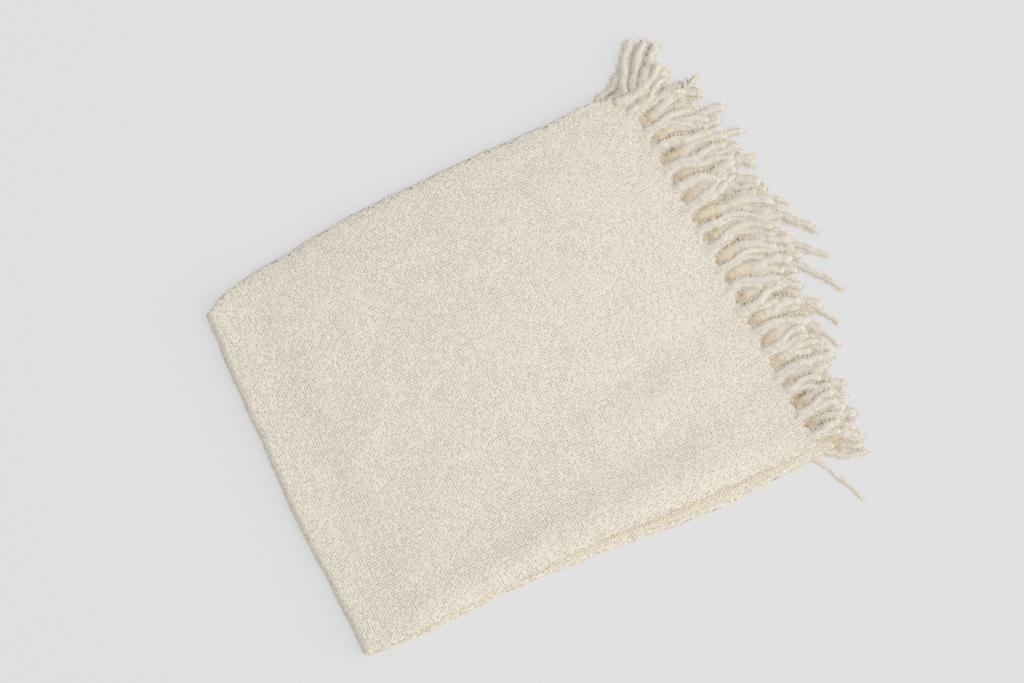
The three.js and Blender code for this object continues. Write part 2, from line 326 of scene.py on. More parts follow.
@dataclass(frozen=True)
class FoldShape:
    """The middle surface of the cloth in its two folds, over places on the flat cloth.

    A place along the flat cloth runs from the lower fringed end, past the end fold at 0, to the upper
    one. A place across it runs from the outer selvedge, past the side fold at 0, to the inner one.
    """

    half_length: float = 760.0
    half_width: float = 635.0
    sheet: float = 4.0
    layer_gap: float = 1.2
    side_radius: float = 3.8
    end_radius: float = 7.5
    side_reach: float = 70.0
    end_reach: float = 80.0
    puff_reach: float = 120.0
    droop_reach: float = 34.0
    droop_tip: float = 10.0
    inner_setback: float = 24.0
    end_fold_x: float = -381.0
    swell_start: float = 120.0
    end_shift: float = 60.0
    wobble: float = 0.9
    wobble_slow: float = 37.0
    wobble_quick: float = 13.0
    quick_share: float = 0.6
    quick_phase: float = 2.3
    ripple: float = 0.55
    close_share: float = 0.45
    pillow: float = 5.0
    pillow_end: float = 1.4
    pillow_fold: float = 40.0
    pillow_edge: float = 120.0
    pillow_sinks: tuple[float, float] = (240.0, 380.0)
    step: float = 0.3

    @property
    def flat_gap(self) -> float:
        """Half the distance between two layers that lie flat on each other."""
        return (self.sheet + self.layer_gap) / 2

    def mix_layers(self, column: str, upper: Array, inner: Array) -> Array:
        """Mixes a value of the four layers.

        Args:
            column: The value's name.
            upper: How far up each point lies, from 0 to 1.
            inner: How far in it lies, from 0 to 1.

        Returns:
            The mixed value at each point.
        """
        pick = {layer: getattr(layer.value, column) for layer in Layer}
        low = lerp(pick[Layer.LOWER_OUTER], pick[Layer.LOWER_INNER], inner)
        high = lerp(pick[Layer.UPPER_OUTER], pick[Layer.UPPER_INNER], inner)
        return lerp(low, high, upper)

    def half_gap(self, inward: Array) -> Array:
        """Gives half the height of a folded pair at a distance in from its fold."""
        return lerp(self.side_radius, self.flat_gap, smoothstep(inward, 0.0, self.side_reach))

    def unevenness(self, place: Array, wander: Wander) -> Array:
        """Gives the small wander of an edge or a fold along its length.

        Args:
            place: Places along the edge.
            wander: Where its wander starts.

        Returns:
            The wander at each place.
        """
        slow = np.sin(place / self.wobble_slow + wander.value)
        quick = np.sin(place / self.wobble_quick + self.quick_phase * wander.value)
        return self.wobble * (slow + self.quick_share * quick)

    def point(self, along: Array | float, across: Array | float) -> Array:
        """Places the middle surface.

        Args:
            along: Places along the flat cloth.
            across: Places across it.

        Returns:
            The points, with their coordinates on the last axis.
        """
        along, across = np.broadcast_arrays(np.asarray(along, float), np.asarray(across, float))
        end_arc = QUARTER_TURN * self.end_radius
        side_arc = QUARTER_TURN * self.side_radius
        end_turn = np.clip(along / self.end_radius, -QUARTER_TURN, QUARTER_TURN)
        side_turn = np.clip(across / self.side_radius, -QUARTER_TURN, QUARTER_TURN)
        run = np.maximum(0.0, np.abs(along) - end_arc) / (self.half_length - end_arc)
        span = np.maximum(0.0, np.abs(across) - side_arc) / (self.half_width - side_arc)
        upper = (1.0 + np.sin(end_turn)) / 2
        inner = (1.0 + np.sin(side_turn)) / 2

        inward = smoothstep(across, -self.end_shift, self.end_shift)
        end_x = self.mix_layers("end_x", upper, inward)
        fold_inset = self.end_radius + self.flat_gap + self.sheet / 2
        row_x = lerp(self.end_fold_x + fold_inset, end_x, run)
        nose = self.sheet / 2 + self.side_radius
        low_centre = read_table(OUTLINE, "low_fold", row_x) + nose
        low_centre = low_centre + self.unevenness(row_x, Wander.LOW_FOLD)
        top_centre = read_table(OUTLINE, "top_fold", row_x) + nose
        top_centre = top_centre + self.unevenness(row_x, Wander.TOP_FOLD)
        low_edge = read_table(OUTLINE, "low_edge", row_x) + self.unevenness(row_x, Wander.LOW_EDGE)
        top_edge = read_table(OUTLINE, "top_edge", row_x) + self.unevenness(row_x, Wander.TOP_EDGE)
        droop = read_table(OUTLINE, "droop", row_x)
        inner_edge = np.minimum(low_edge, top_edge) - self.inner_setback * droop - self.layer_gap
        edge = lerp(lerp(low_edge, top_edge, upper), inner_edge, inner)
        fold_centre = lerp(low_centre, top_centre, upper)
        y = lerp(fold_centre, edge, span) - self.side_radius * np.cos(side_turn)
        fold_x = read_table(END_FOLD, "x", y) + fold_inset + self.unevenness(y, Wander.END_FOLD)
        path_x = lerp(fold_x, end_x, run) - self.end_radius * np.cos(end_turn)

        puffing = np.sin(math.pi * np.clip((y - top_centre) / self.puff_reach, 0.0, 1.0))
        puff = read_table(OUTLINE, "puff", row_x) * puffing * puffing
        low_half = self.half_gap(y - low_centre)
        top_half = self.half_gap(y - top_centre) + puff
        half = lerp(low_half, top_half, upper) * np.sin(side_turn)
        from_fold = run * (end_x - fold_x)
        stacked = low_half + top_half + self.sheet + self.layer_gap
        rounded = np.maximum(2 * self.end_radius, stacked)
        apart = lerp(rounded, stacked, smoothstep(from_fold, 0.0, self.end_reach))
        path_z = self.sheet / 2 + low_half + apart * upper
        x = path_x + half * np.cos(end_turn)
        lift = self.mix_layers("lift", upper, inner) * smoothstep(from_fold, 0.0, self.swell_start)
        swell = swell_height(SWELLS, x, y) + swell_height(CREASES, x, y) + self.ripples(x, y)
        from_side = np.clip((y - top_centre) / self.pillow_fold, 0.0, 1.0)
        puffed = (1.0 - (1.0 - from_side) ** 2) * smoothstep(top_edge - y, 0.0, self.pillow_edge)
        pillow = lerp(self.pillow, self.pillow_end, smoothstep(x, *self.pillow_sinks))
        swell = swell + pillow * puffed
        flat_z = path_z - half * np.sin(end_turn) + lift * swell

        overhang = np.clip(1.0 - (edge - y) / self.droop_reach, 0.0, 1.0)
        hang = droop * upper * (1.0 - inner) * (1.0 - np.sqrt(1.0 - overhang * overhang))
        return np.stack([x, y, lerp(flat_z, self.droop_tip, hang)], axis=-1)

    def ripples(self, x: Array, y: Array) -> Array:
        """Gives the slight unevenness of a soft cloth that was smoothed out by hand."""
        close = self.close_share * CLOSE_RIPPLES.at(x, y)
        return self.ripple * (BROAD_RIPPLES.at(x, y) + close)

    def frames(self, along: Array, across: Array, face: Face) -> tuple[Array, Array, Array, Array]:
        """Places the middle surface with its directions.

        Args:
            along: Places along the flat cloth.
            across: Places across it.
            face: The face that the outward direction leaves from.

        Returns:
            The points, the directions along and across the cloth, and the outward direction.
        """
        along, across = np.broadcast_arrays(np.asarray(along, float), np.asarray(across, float))
        forward = self.point(along + self.step, across) - self.point(along - self.step, across)
        sideways = self.point(along, across + self.step) - self.point(along, across - self.step)
        outward = unit(np.cross(forward, sideways)) * face.value
        return self.point(along, across), unit(forward), unit(sideways), outward

    def surface(self, along: Array, across: Array, face: Face, depth: float) -> Array:
        """Places a surface at a depth from the middle, on the side of one face."""
        points, _, _, outward = self.frames(along, across, face)
        return points + outward * depth


@dataclass
class MeshParts:
    """Vertices and faces that are gathered into one mesh, with a value or two at each vertex."""

    points: list[Array] = field(default_factory=list)
    triangles: list[Array] = field(default_factory=list)
    quads: list[Array] = field(default_factory=list)
    triangles_smooth: list[Array] = field(default_factory=list)
    values: dict[str, list[Array]] = field(default_factory=dict)
    count: int = 0

    def add(
        self,
        points: Array,
        triangles: Array | None = None,
        quads: Array | None = None,
        smooth: bool = True,
        **values: Array,
    ) -> None:
        """Adds a shape.

        Args:
            points: Its vertices.
            triangles: Its three-sided faces, by vertex.
            quads: Its four-sided faces, by vertex, which are shaded smooth.
            smooth: Whether its three-sided faces are shaded smooth.
            values: Named values, one for each vertex.
        """
        points = np.asarray(points, float).reshape(-1, 3)
        self.points.append(points)
        if triangles is not None and len(triangles):
            corners = np.asarray(triangles, int).reshape(-1, 3) + self.count
            self.triangles.append(corners)
            self.triangles_smooth.append(np.full(len(corners), smooth))
        if quads is not None and len(quads):
            self.quads.append(np.asarray(quads, int).reshape(-1, 4) + self.count)
        for name, value in values.items():
            spread = np.broadcast_to(np.asarray(value, float).ravel(), (len(points),))
            self.values.setdefault(name, []).append(spread)
        self.count += len(points)

    def piece(self, name: str, floor: float = 0.1) -> bpy.types.Object:
        """Makes the object, at the origin, with its place in its mesh.

        Args:
            name: The piece's name.
            floor: The lowest that a vertex may lie.

        Returns:
            The new object.
        """
        points = np.concatenate(self.points)
        points[:, 2] = np.maximum(points[:, 2], floor)
        triangles = np.concatenate(self.triangles) if self.triangles else np.zeros((0, 3), int)
        quads = np.concatenate(self.quads) if self.quads else np.zeros((0, 4), int)
        mesh = bpy.data.meshes.new(name)
        mesh.vertices.add(len(points))
        mesh.vertices.foreach_set("co", (points * MM).astype(np.float32).ravel())
        corners = np.concatenate([triangles.ravel(), quads.ravel()]).astype(np.int32)
        mesh.loops.add(len(corners))
        mesh.loops.foreach_set("vertex_index", corners)
        sizes = np.concatenate([np.full(len(triangles), 3), np.full(len(quads), 4)])
        starts = np.concatenate([[0], np.cumsum(sizes)[:-1]]).astype(np.int32)
        mesh.polygons.add(len(sizes))
        mesh.polygons.foreach_set("loop_start", starts)
        smooth = np.concatenate([*self.triangles_smooth, np.ones(len(quads), bool)])
        mesh.polygons.foreach_set("use_smooth", smooth)
        mesh.update(calc_edges=True)
        mesh.validate()
        for key, value in self.values.items():
            layer = mesh.attributes.new(key, "FLOAT", "POINT")
            layer.data.foreach_set("value", np.concatenate(value).astype(np.float32))
        made = bpy.data.objects.new(name, mesh)
        bpy.context.collection.objects.link(made)
        return made


@dataclass(frozen=True)
class Wiring:
    """A node tree in which nodes are placed and joined."""

    tree: bpy.types.NodeTree

    def node(self, kind: str, inputs: dict | None = None, **settings: object) -> bpy.types.Node:
        """Adds a node.

        Args:
            kind: The node's type.
            inputs: Values or sockets for its inputs, by name or number.
            settings: Values for its own settings.

        Returns:
            The new node.
        """
        made = self.tree.nodes.new(kind)
        for name, value in settings.items():
            setattr(made, name, value)
        for key, value in (inputs or {}).items():
            if isinstance(value, bpy.types.NodeSocket):
                self.tree.links.new(value, made.inputs[key])
            else:
                made.inputs[key].default_value = value
        return made

    def math(self, operation: str, first: object, second: object = 0.0) -> bpy.types.NodeSocket:
        """Adds a sum or other step on one or two numbers and gives its result."""
        made = self.node("ShaderNodeMath", {0: first, 1: second}, operation=operation)
        return made.outputs[0]

    def mix(self, share: object, first: object, second: object) -> bpy.types.NodeSocket:
        """Adds a mix of two colours and gives its result."""
        made = self.node("ShaderNodeMix", {0: share, 6: first, 7: second}, data_type="RGBA")
        return made.outputs[2]

    def spread(
        self, value: object, low: float, high: float, start: float, stop: float
    ) -> bpy.types.NodeSocket:
        """Adds a step that carries one range of numbers over to another, held at its ends."""
        names = {"Value": value, "From Min": low, "From Max": high, "To Min": start, "To Max": stop}
        return self.node("ShaderNodeMapRange", names).outputs[0]

    def noise(self, vector: object, scale: float, detail: float, rough: float) -> bpy.types.NodeSocket:
        """Adds a soft random pattern and gives its value."""
        names = {"Vector": vector, "Scale": scale, "Detail": detail, "Roughness": rough}
        return self.node("ShaderNodeTexNoise", names).outputs[0]

    def effect(self, group: bpy.types.NodeTree, inputs: dict) -> bpy.types.bpy_prop_collection:
        """Adds a shared effect and gives its results."""
        return self.node("ShaderNodeGroup", inputs, node_tree=group).outputs


class Effect(Enum):
    """The effects that the finishes are made of."""

    YARN_TONE = "yarn_tone"
    WOOL_FIBRE = "wool_fibre"
    PLAIN_WEAVE = "plain_weave"


class EffectShelf:
    """The shared effects, each built once as a node group."""

    def __init__(self) -> None:
        """Builds the groups."""
        self.groups = {
            Effect.YARN_TONE: self.yarn_tone(),
            Effect.WOOL_FIBRE: self.wool_fibre(),
            Effect.PLAIN_WEAVE: self.plain_weave(),
        }

    @staticmethod
    def start(effect: Effect, sockets: dict[str, str], results: dict[str, str]) -> Wiring:
        """Makes an empty group.

        Args:
            effect: The effect that it is for.
            sockets: Its inputs and their socket types.
            results: Its outputs and their socket types.

        Returns:
            The group's wiring.
        """
        group = bpy.data.node_groups.new(effect.value, "ShaderNodeTree")
        for name, kind in sockets.items():
            group.interface.new_socket(name, in_out="INPUT", socket_type=kind)
        for name, kind in results.items():
            group.interface.new_socket(name, in_out="OUTPUT", socket_type=kind)
        return Wiring(group)

    def yarn_tone(self) -> bpy.types.NodeTree:
        """Makes the colour of a wool yarn: each lump's own tone, with painted shade, warmer and darker,
        deep down in the gaps and wherever the painted light is low.

        Returns:
            The group.
        """
        wiring = self.start(
            Effect.YARN_TONE,
            {
                "Vector": "NodeSocketVector",
                "Tone": "NodeSocketFloat",
                "Painted Light": "NodeSocketFloat",
                "Crest": "NodeSocketColor",
                "Body": "NodeSocketColor",
                "Gap Shade": "NodeSocketColor",
            },
            {"Color": "NodeSocketColor", "Roughness": "NodeSocketFloat"},
        )
        source = wiring.node("NodeGroupInput").outputs
        patches = wiring.noise(source["Vector"], scale=34.0, detail=3.0, rough=0.55)
        flecks = wiring.noise(source["Vector"], scale=420.0, detail=2.0, rough=0.6)
        tone = wiring.math("MULTIPLY", source["Tone"], 0.55)
        patch_tone = wiring.spread(patches, low=0.32, high=0.68, start=-0.1, stop=0.1)
        fleck_tone = wiring.spread(flecks, low=0.3, high=0.7, start=-0.05, stop=0.45)
        for more in (patch_tone, fleck_tone):
            tone = wiring.math("ADD", tone, more)
        body = wiring.mix(tone, source["Body"], source["Crest"])
        # Painted shade: where the painted light is low, the colour turns to the warm, darker gap-shade
        # colour.
        depth = wiring.spread(source["Painted Light"], low=0.25, high=0.8, start=0.0, stop=1.0)
        color = wiring.mix(depth, source["Gap Shade"], body)
        rough = wiring.spread(flecks, low=0.3, high=0.7, start=0.86, stop=1.0)
        wiring.node("NodeGroupOutput", {"Color": color, "Roughness": rough})
        return wiring.tree

    def wool_fibre(self) -> bpy.types.NodeTree:
        """Makes the fine fluff of a wool yarn as a height.

        Returns:
            The group.
        """
        wiring = self.start(
            Effect.WOOL_FIBRE,
            {"Vector": "NodeSocketVector", "Scale": "NodeSocketFloat"},
            {"Height": "NodeSocketFloat"},
        )
        source = wiring.node("NodeGroupInput").outputs
        names = {"Vector": source["Vector"], "Scale": source["Scale"], "Detail": 3.0, "Distortion": 1.4}
        fluff = wiring.node("ShaderNodeTexNoise", names).outputs[0]
        strands = wiring.node(
            "ShaderNodeTexWave",
            {"Vector": source["Vector"], "Scale": 260.0, "Distortion": 9.0, "Detail": 2.0},
        ).outputs["Fac"]
        height = wiring.math("ADD", fluff, wiring.math("MULTIPLY", strands, 0.35))
        wiring.node("NodeGroupOutput", {"Height": height})
        return wiring.tree

    def plain_weave(self) -> bpy.types.NodeTree:
        """Makes a plain weave on the flat cloth: threads over and under, with gaps between, and a mask
        of the gaps for painted shade.

        Returns:
            The group.
        """
        wiring = self.start(
            Effect.PLAIN_WEAVE,
            {"Vector": "NodeSocketVector", "Along": "NodeSocketFloat", "Across": "NodeSocketFloat"},
            {"Height": "NodeSocketFloat", "Gap Shade": "NodeSocketFloat"},
        )
        source = wiring.node("NodeGroupInput").outputs
        parts = wiring.node("ShaderNodeSeparateXYZ", {0: source["Vector"]}).outputs
        turns = []
        for axis, pitch in ((0, "Along"), (1, "Across")):
            threads = wiring.math("DIVIDE", parts[axis], source[pitch])
            turns.append(wiring.math("MULTIPLY", threads, math.pi))
        waves = [wiring.math("SINE", turn) for turn in turns]
        ridges = [wiring.math("ABSOLUTE", wave) for wave in waves]
        over = wiring.math("MULTIPLY", waves[0], waves[1])
        crossing = wiring.math("ABSOLUTE", over)
        height = wiring.math("MULTIPLY", wiring.math("ADD", ridges[0], ridges[1]), crossing)
        hollow = wiring.math("MAXIMUM", ridges[0], ridges[1])
        gap_shade = wiring.spread(hollow, low=0.25, high=0.85, start=1.0, stop=0.0)
        wiring.node("NodeGroupOutput", {"Height": height, "Gap Shade": gap_shade})
        return wiring.tree


@dataclass(frozen=True)
class WoolFinish:
    """A cream wool finish: its colours, with a gap colour that is painted shade, its fluff and soft
    sheen.
    """

    name: str
    crest: Shade
    body: Shade
    gap_shade: Shade
    fibre_scale: float = 900.0
    fibre_depth: float = 0.0004
    sheen: float = 0.25
    sheen_tint: Shade = (1.0, 0.97, 0.9, 1.0)
    sheen_rough: float = 0.6
    gloss: float = 0.15
    woven: bool = False
    woven_fluff: float = 0.4
    weave_along: float = 0.00452
    weave_across: float = 0.00468

    def make(self, shelf: EffectShelf) -> bpy.types.Material:
        """Makes the material.

        Args:
            shelf: The shared effects.

        Returns:
            The material.
        """
        material = bpy.data.materials.new(self.name)
        material.use_nodes = True
        material.node_tree.nodes.clear()
        wiring = Wiring(material.node_tree)
        place = wiring.node("ShaderNodeTexCoord").outputs["Object"]
        tone = wiring.node("ShaderNodeAttribute", attribute_name="tone").outputs["Fac"]
        rise = wiring.node("ShaderNodeAttribute", attribute_name="rise").outputs["Fac"]
        groups = shelf.groups
        fibre = wiring.effect(groups[Effect.WOOL_FIBRE], {"Vector": place, "Scale": self.fibre_scale})
        height = fibre["Height"]
        if self.woven:
            flat = wiring.node("ShaderNodeUVMap", uv_map="flat_cloth").outputs[0]
            threads = {"Vector": flat, "Along": self.weave_along, "Across": self.weave_across}
            weave = wiring.effect(groups[Effect.PLAIN_WEAVE], threads)
            # Painted shade: the weave's gaps are coloured darker and warmer.
            rise = wiring.spread(weave["Gap Shade"], low=0.0, high=1.0, start=0.75, stop=0.2)
            fluff = wiring.math("MULTIPLY", height, self.woven_fluff)
            height = wiring.math("ADD", fluff, weave["Height"])
        colours = {"Crest": self.crest, "Body": self.body, "Gap Shade": self.gap_shade}
        places = {"Vector": place, "Tone": tone, "Painted Light": rise}
        yarn = wiring.effect(groups[Effect.YARN_TONE], {**places, **colours})
        bump = wiring.node("ShaderNodeBump", {"Height": height, "Distance": self.fibre_depth})
        shader = wiring.node(
            "ShaderNodeBsdfPrincipled",
            {
                "Base Color": yarn["Color"],
                "Roughness": yarn["Roughness"],
                "Normal": bump.outputs[0],
                "Specular IOR Level": self.gloss,
                "Sheen Weight": self.sheen,
                "Sheen Roughness": self.sheen_rough,
                "Sheen Tint": self.sheen_tint,
            },
        )
        wiring.node("ShaderNodeOutputMaterial", {"Surface": shader.outputs[0]})
        return material


@dataclass
class ClothSheet:
    """The one woven sheet in its folds."""

    shape: FoldShape
    outer_half: float = 1.75
    inner_half: float = 1.2
    floor_half: float = 1.9
    floor_from_end_fold: tuple[float, float] = (30.0, 70.0)
    floor_from_side_fold: tuple[float, float] = (10.0, 40.0)
    run_steps: int = 64
    end_steps: int = 10
    span_steps: int = 54
    side_steps: int = 8
    edge_share: float = 0.4

    def stations(self, half_size: float, radius: float, fold_steps: int, run_steps: int) -> Array:
        """Spreads places over the flat cloth: close in the fold, a little closer at the edges.

        Args:
            half_size: Half the cloth's size.
            radius: The fold's radius.
            fold_steps: Steps round the fold.
            run_steps: Steps from the fold to an edge.

        Returns:
            The places, from edge to edge.
        """
        arc = QUARTER_TURN * radius
        share = np.arange(1, run_steps + 1) / run_steps
        eased = (1.0 - np.cos(math.pi * share)) / 2
        run = lerp(arc, half_size, lerp(share, eased, self.edge_share))
        return np.concatenate([-run[::-1], np.linspace(-arc, arc, fold_steps + 1), run])

    def build(self) -> bpy.types.Object:
        """Makes the sheet as a closed mesh of even thickness.

        Returns:
            The sheet.
        """
        shape = self.shape
        along = self.stations(shape.half_length, shape.end_radius, self.end_steps, self.run_steps)
        across = self.stations(shape.half_width, shape.side_radius, self.side_steps, self.span_steps)
        u, v = np.meshgrid(along, across, indexing="ij")
        points, _, _, outward = shape.frames(u, v, Face.OUTER)
        lowest = smoothstep(-u, *self.floor_from_end_fold) * smoothstep(-v, *self.floor_from_side_fold)
        outer_half = lerp(self.outer_half, self.floor_half, lowest)
        outer = points + outward * outer_half[..., None]
        inner = points - outward * self.inner_half
        rows, columns = u.shape
        index = np.arange(rows * columns).reshape(rows, columns)
        faces = np.stack([index[:-1, :-1], index[1:, :-1], index[1:, 1:], index[:-1, 1:]], axis=-1)
        faces = faces.reshape(-1, 4)
        shift = rows * columns
        rim = np.concatenate([index[:, 0], index[-1, 1:], index[-2::-1, -1], index[0, -2:0:-1]])
        after = np.roll(rim, -1)
        wall = np.stack([rim, rim + shift, after + shift, after], axis=-1)
        parts = MeshParts()
        parts.add(
            np.concatenate([outer.reshape(-1, 3), inner.reshape(-1, 3)]),
            quads=np.concatenate([faces[:, ::-1], faces + shift, wall[:, ::-1]]),
            tone=0.5,
            rise=0.5,
        )
        made = parts.piece("throw_cloth")
        self.lay_flat(made, np.tile(u.ravel(), 2), np.tile(v.ravel(), 2))
        return made

    @staticmethod
    def lay_flat(made: bpy.types.Object, u: Array, v: Array) -> None:
        """Gives the sheet a UV map in metres on the flat cloth.

        Args:
            made: The sheet.
            u: Each vertex's place along the flat cloth.
            v: Its place across it.
        """
        mesh = made.data
        corners = np.zeros(len(mesh.loops), np.int32)
        mesh.loops.foreach_get("vertex_index", corners)
        flat = np.stack([u[corners], v[corners]], axis=-1) * MM
        layer = mesh.uv_layers.new(name="flat_cloth")
        layer.data.foreach_set("uv", flat.astype(np.float32).ravel())


class Region(NamedTuple):
    """A stretch of one face that carries lumps, by places on the flat cloth, and how open to the light
    it lies, painted into its lumps' colour as shade.
    """

    piece: str
    face: Face
    along_start: float
    along_stop: float
    across_start: float
    across_stop: float
    shade: float


# The last column paints shade: lumps on the lower layers, in the crevice under the upper fold and round
# the hidden edges, are coloured darker and warmer.
REGIONS = (
    Region("boucle_fold_side", Face.OUTER, -26, 366, 10, -634, FULL_LIGHT),
    Region("boucle_fringe_side", Face.OUTER, 366, 764, 10, -634, FULL_LIGHT),
    Region("boucle_lower_layers", Face.OUTER, -759, -24, -10, 15, 0.95),
    Region("boucle_lower_layers", Face.OUTER, -759, -24, 15, 48, 0.55),
    Region("boucle_lower_layers", Face.INNER, 739, 759, 12, 634, 0.45),
    Region("boucle_lower_layers", Face.OUTER, -759, -728, 12, 634, 0.45),
    Region("boucle_lower_layers", Face.INNER, -759, -738, -12, -634, 0.45),
    Region("boucle_lower_layers", Face.INNER, -738, -660, -600, -634, 0.8),
)


class EdgeRow(NamedTuple):
    """A fold or a selvedge that shows from above, by places on the flat cloth."""

    fold: bool
    along_start: float
    along_stop: float
    across_start: float
    across_stop: float


EDGES = (
    EdgeRow(True, -9, 9, -630, 10),
    EdgeRow(True, 12, 758, -5, 5),
    EdgeRow(True, -758, -12, -5, 5),
    EdgeRow(False, 10, 758, -634.5, -634),
    EdgeRow(False, -758, -10, -634.5, -634),
)


class Axes(NamedTuple):
    """Three directions for each of a row of small shapes: along, across and outward."""

    along: Array
    across: Array
    outward: Array


@dataclass(frozen=True)
class Lump:
    """One lump of boucle yarn, modelled once and copied."""

    points: Array
    faces: Array
    foot: float = 0.8
    crown: float = 0.7
    uneven: float = 0.12

    @classmethod
    def model(cls) -> "Lump":
        """Models the lump by hand: a six-sided tuft with a low crown and a drawn-in foot.

        Returns:
            The lump, within one of its middle.
        """
        bpy.ops.object.select_all(action="DESELECT")
        bpy.ops.mesh.primitive_cone_add(vertices=6, radius1=1.0, depth=1.0, end_fill_type="TRIFAN")
        made = bpy.context.active_object
        foot = min(made.data.vertices, key=lambda vertex: (round(vertex.co.z, 3), vertex.co.xy.length))
        foot_index = foot.index
        bpy.ops.object.mode_set(mode="EDIT")
        bpy.ops.mesh.select_all(action="SELECT")
        bpy.ops.transform.translate(value=(0.0, 0.0, 0.5))
        bpy.ops.mesh.select_all(action="DESELECT")
        bpy.ops.object.mode_set(mode="OBJECT")
        made.data.vertices[foot_index].select = True
        bpy.ops.object.mode_set(mode="EDIT")
        bpy.ops.transform.translate(value=(0.0, 0.0, -cls.foot))
        bpy.ops.object.mode_set(mode="OBJECT")
        points = np.array([tuple(vertex.co) for vertex in made.data.vertices])
        faces = np.array([tuple(face.vertices) for face in made.data.polygons])
        bpy.data.objects.remove(made)
        return cls(points, faces)

    def copy(
        self,
        parts: MeshParts,
        middle: Array,
        axes: Axes,
        sizes: Array,
        tone: Array,
        shade: Array,
        rng: np.random.Generator,
    ) -> None:
        """Copies the lump, each copy a little different.

        Args:
            parts: The mesh to add to.
            middle: Where each copy sits.
            axes: Its directions.
            sizes: Its half sizes along them.
            tone: How pale it is.
            shade: How open to the light it lies, from 0 to 1.
            rng: Random numbers.
        """
        count = len(middle)
        shape = (count, len(self.points), 1)
        local = self.points[None, :, :] * rng.uniform(1.0 - self.uneven, 1.0 + self.uneven, shape)
        vertices = np.repeat(middle[:, None, :], len(self.points), axis=1)
        for axis, direction in enumerate(axes):
            reach = direction * sizes[:, axis : axis + 1]
            vertices = vertices + local[..., axis : axis + 1] * reach[:, None, :]
        faces = np.arange(count)[:, None, None] * len(self.points) + self.faces[None, :, :]
        # Painted shade: each lump is coloured darker towards its foot, and darker still where its region
        # lies in shade.
        height = np.clip((local[..., 2] + self.foot) / (self.foot + self.crown), 0.0, 1.0)
        parts.add(
            vertices,
            triangles=faces,
            smooth=False,
            tone=np.repeat(tone, len(self.points)),
            rise=height * shade[:, None],
        )


@dataclass(frozen=True)
class Spike:
    """One loose fibre: a thin closed spike with three corners at its foot."""

    width: float = 0.17
    # The painted light at a fibre's foot against its tip, which is painted shade at the root.
    foot: float = 0.8
    askew: Place = (0.31, 0.17, 0.94)
    corner_back: float = 0.5
    corner_beside: float = 0.87

    def copy(
        self,
        parts: MeshParts,
        root: Array,
        heading: Array,
        length: Array,
        tone: Array,
        shade: Array,
    ) -> None:
        """Adds fibres.

        Args:
            parts: The mesh to add to.
            root: Where each fibre starts.
            heading: The way it points.
            length: Its length.
            tone: How pale it is.
            shade: How open to the light its tip lies, from 0 to 1.
        """
        thin = unit(np.cross(heading, np.array(self.askew))) * self.width
        thick = np.cross(heading, thin)
        left = root - self.corner_back * thin + self.corner_beside * thick
        right = root - self.corner_back * thin - self.corner_beside * thick
        corners = np.stack([root + thin, left, right, root + heading * length[:, None]], axis=1)
        sides = np.array([[0, 1, 3], [1, 2, 3], [2, 0, 3], [0, 2, 1]])
        faces = np.arange(len(root))[:, None, None] * 4 + sides[None, :, :]
        # Painted shade: each fibre's foot is coloured darker than its tip, and more so where it lies in
        # shade.
        rise = shade[:, None] * np.array([self.foot, self.foot, self.foot, 1.0])
        parts.add(corners, triangles=faces, smooth=False, tone=np.repeat(tone, 4), rise=rise)


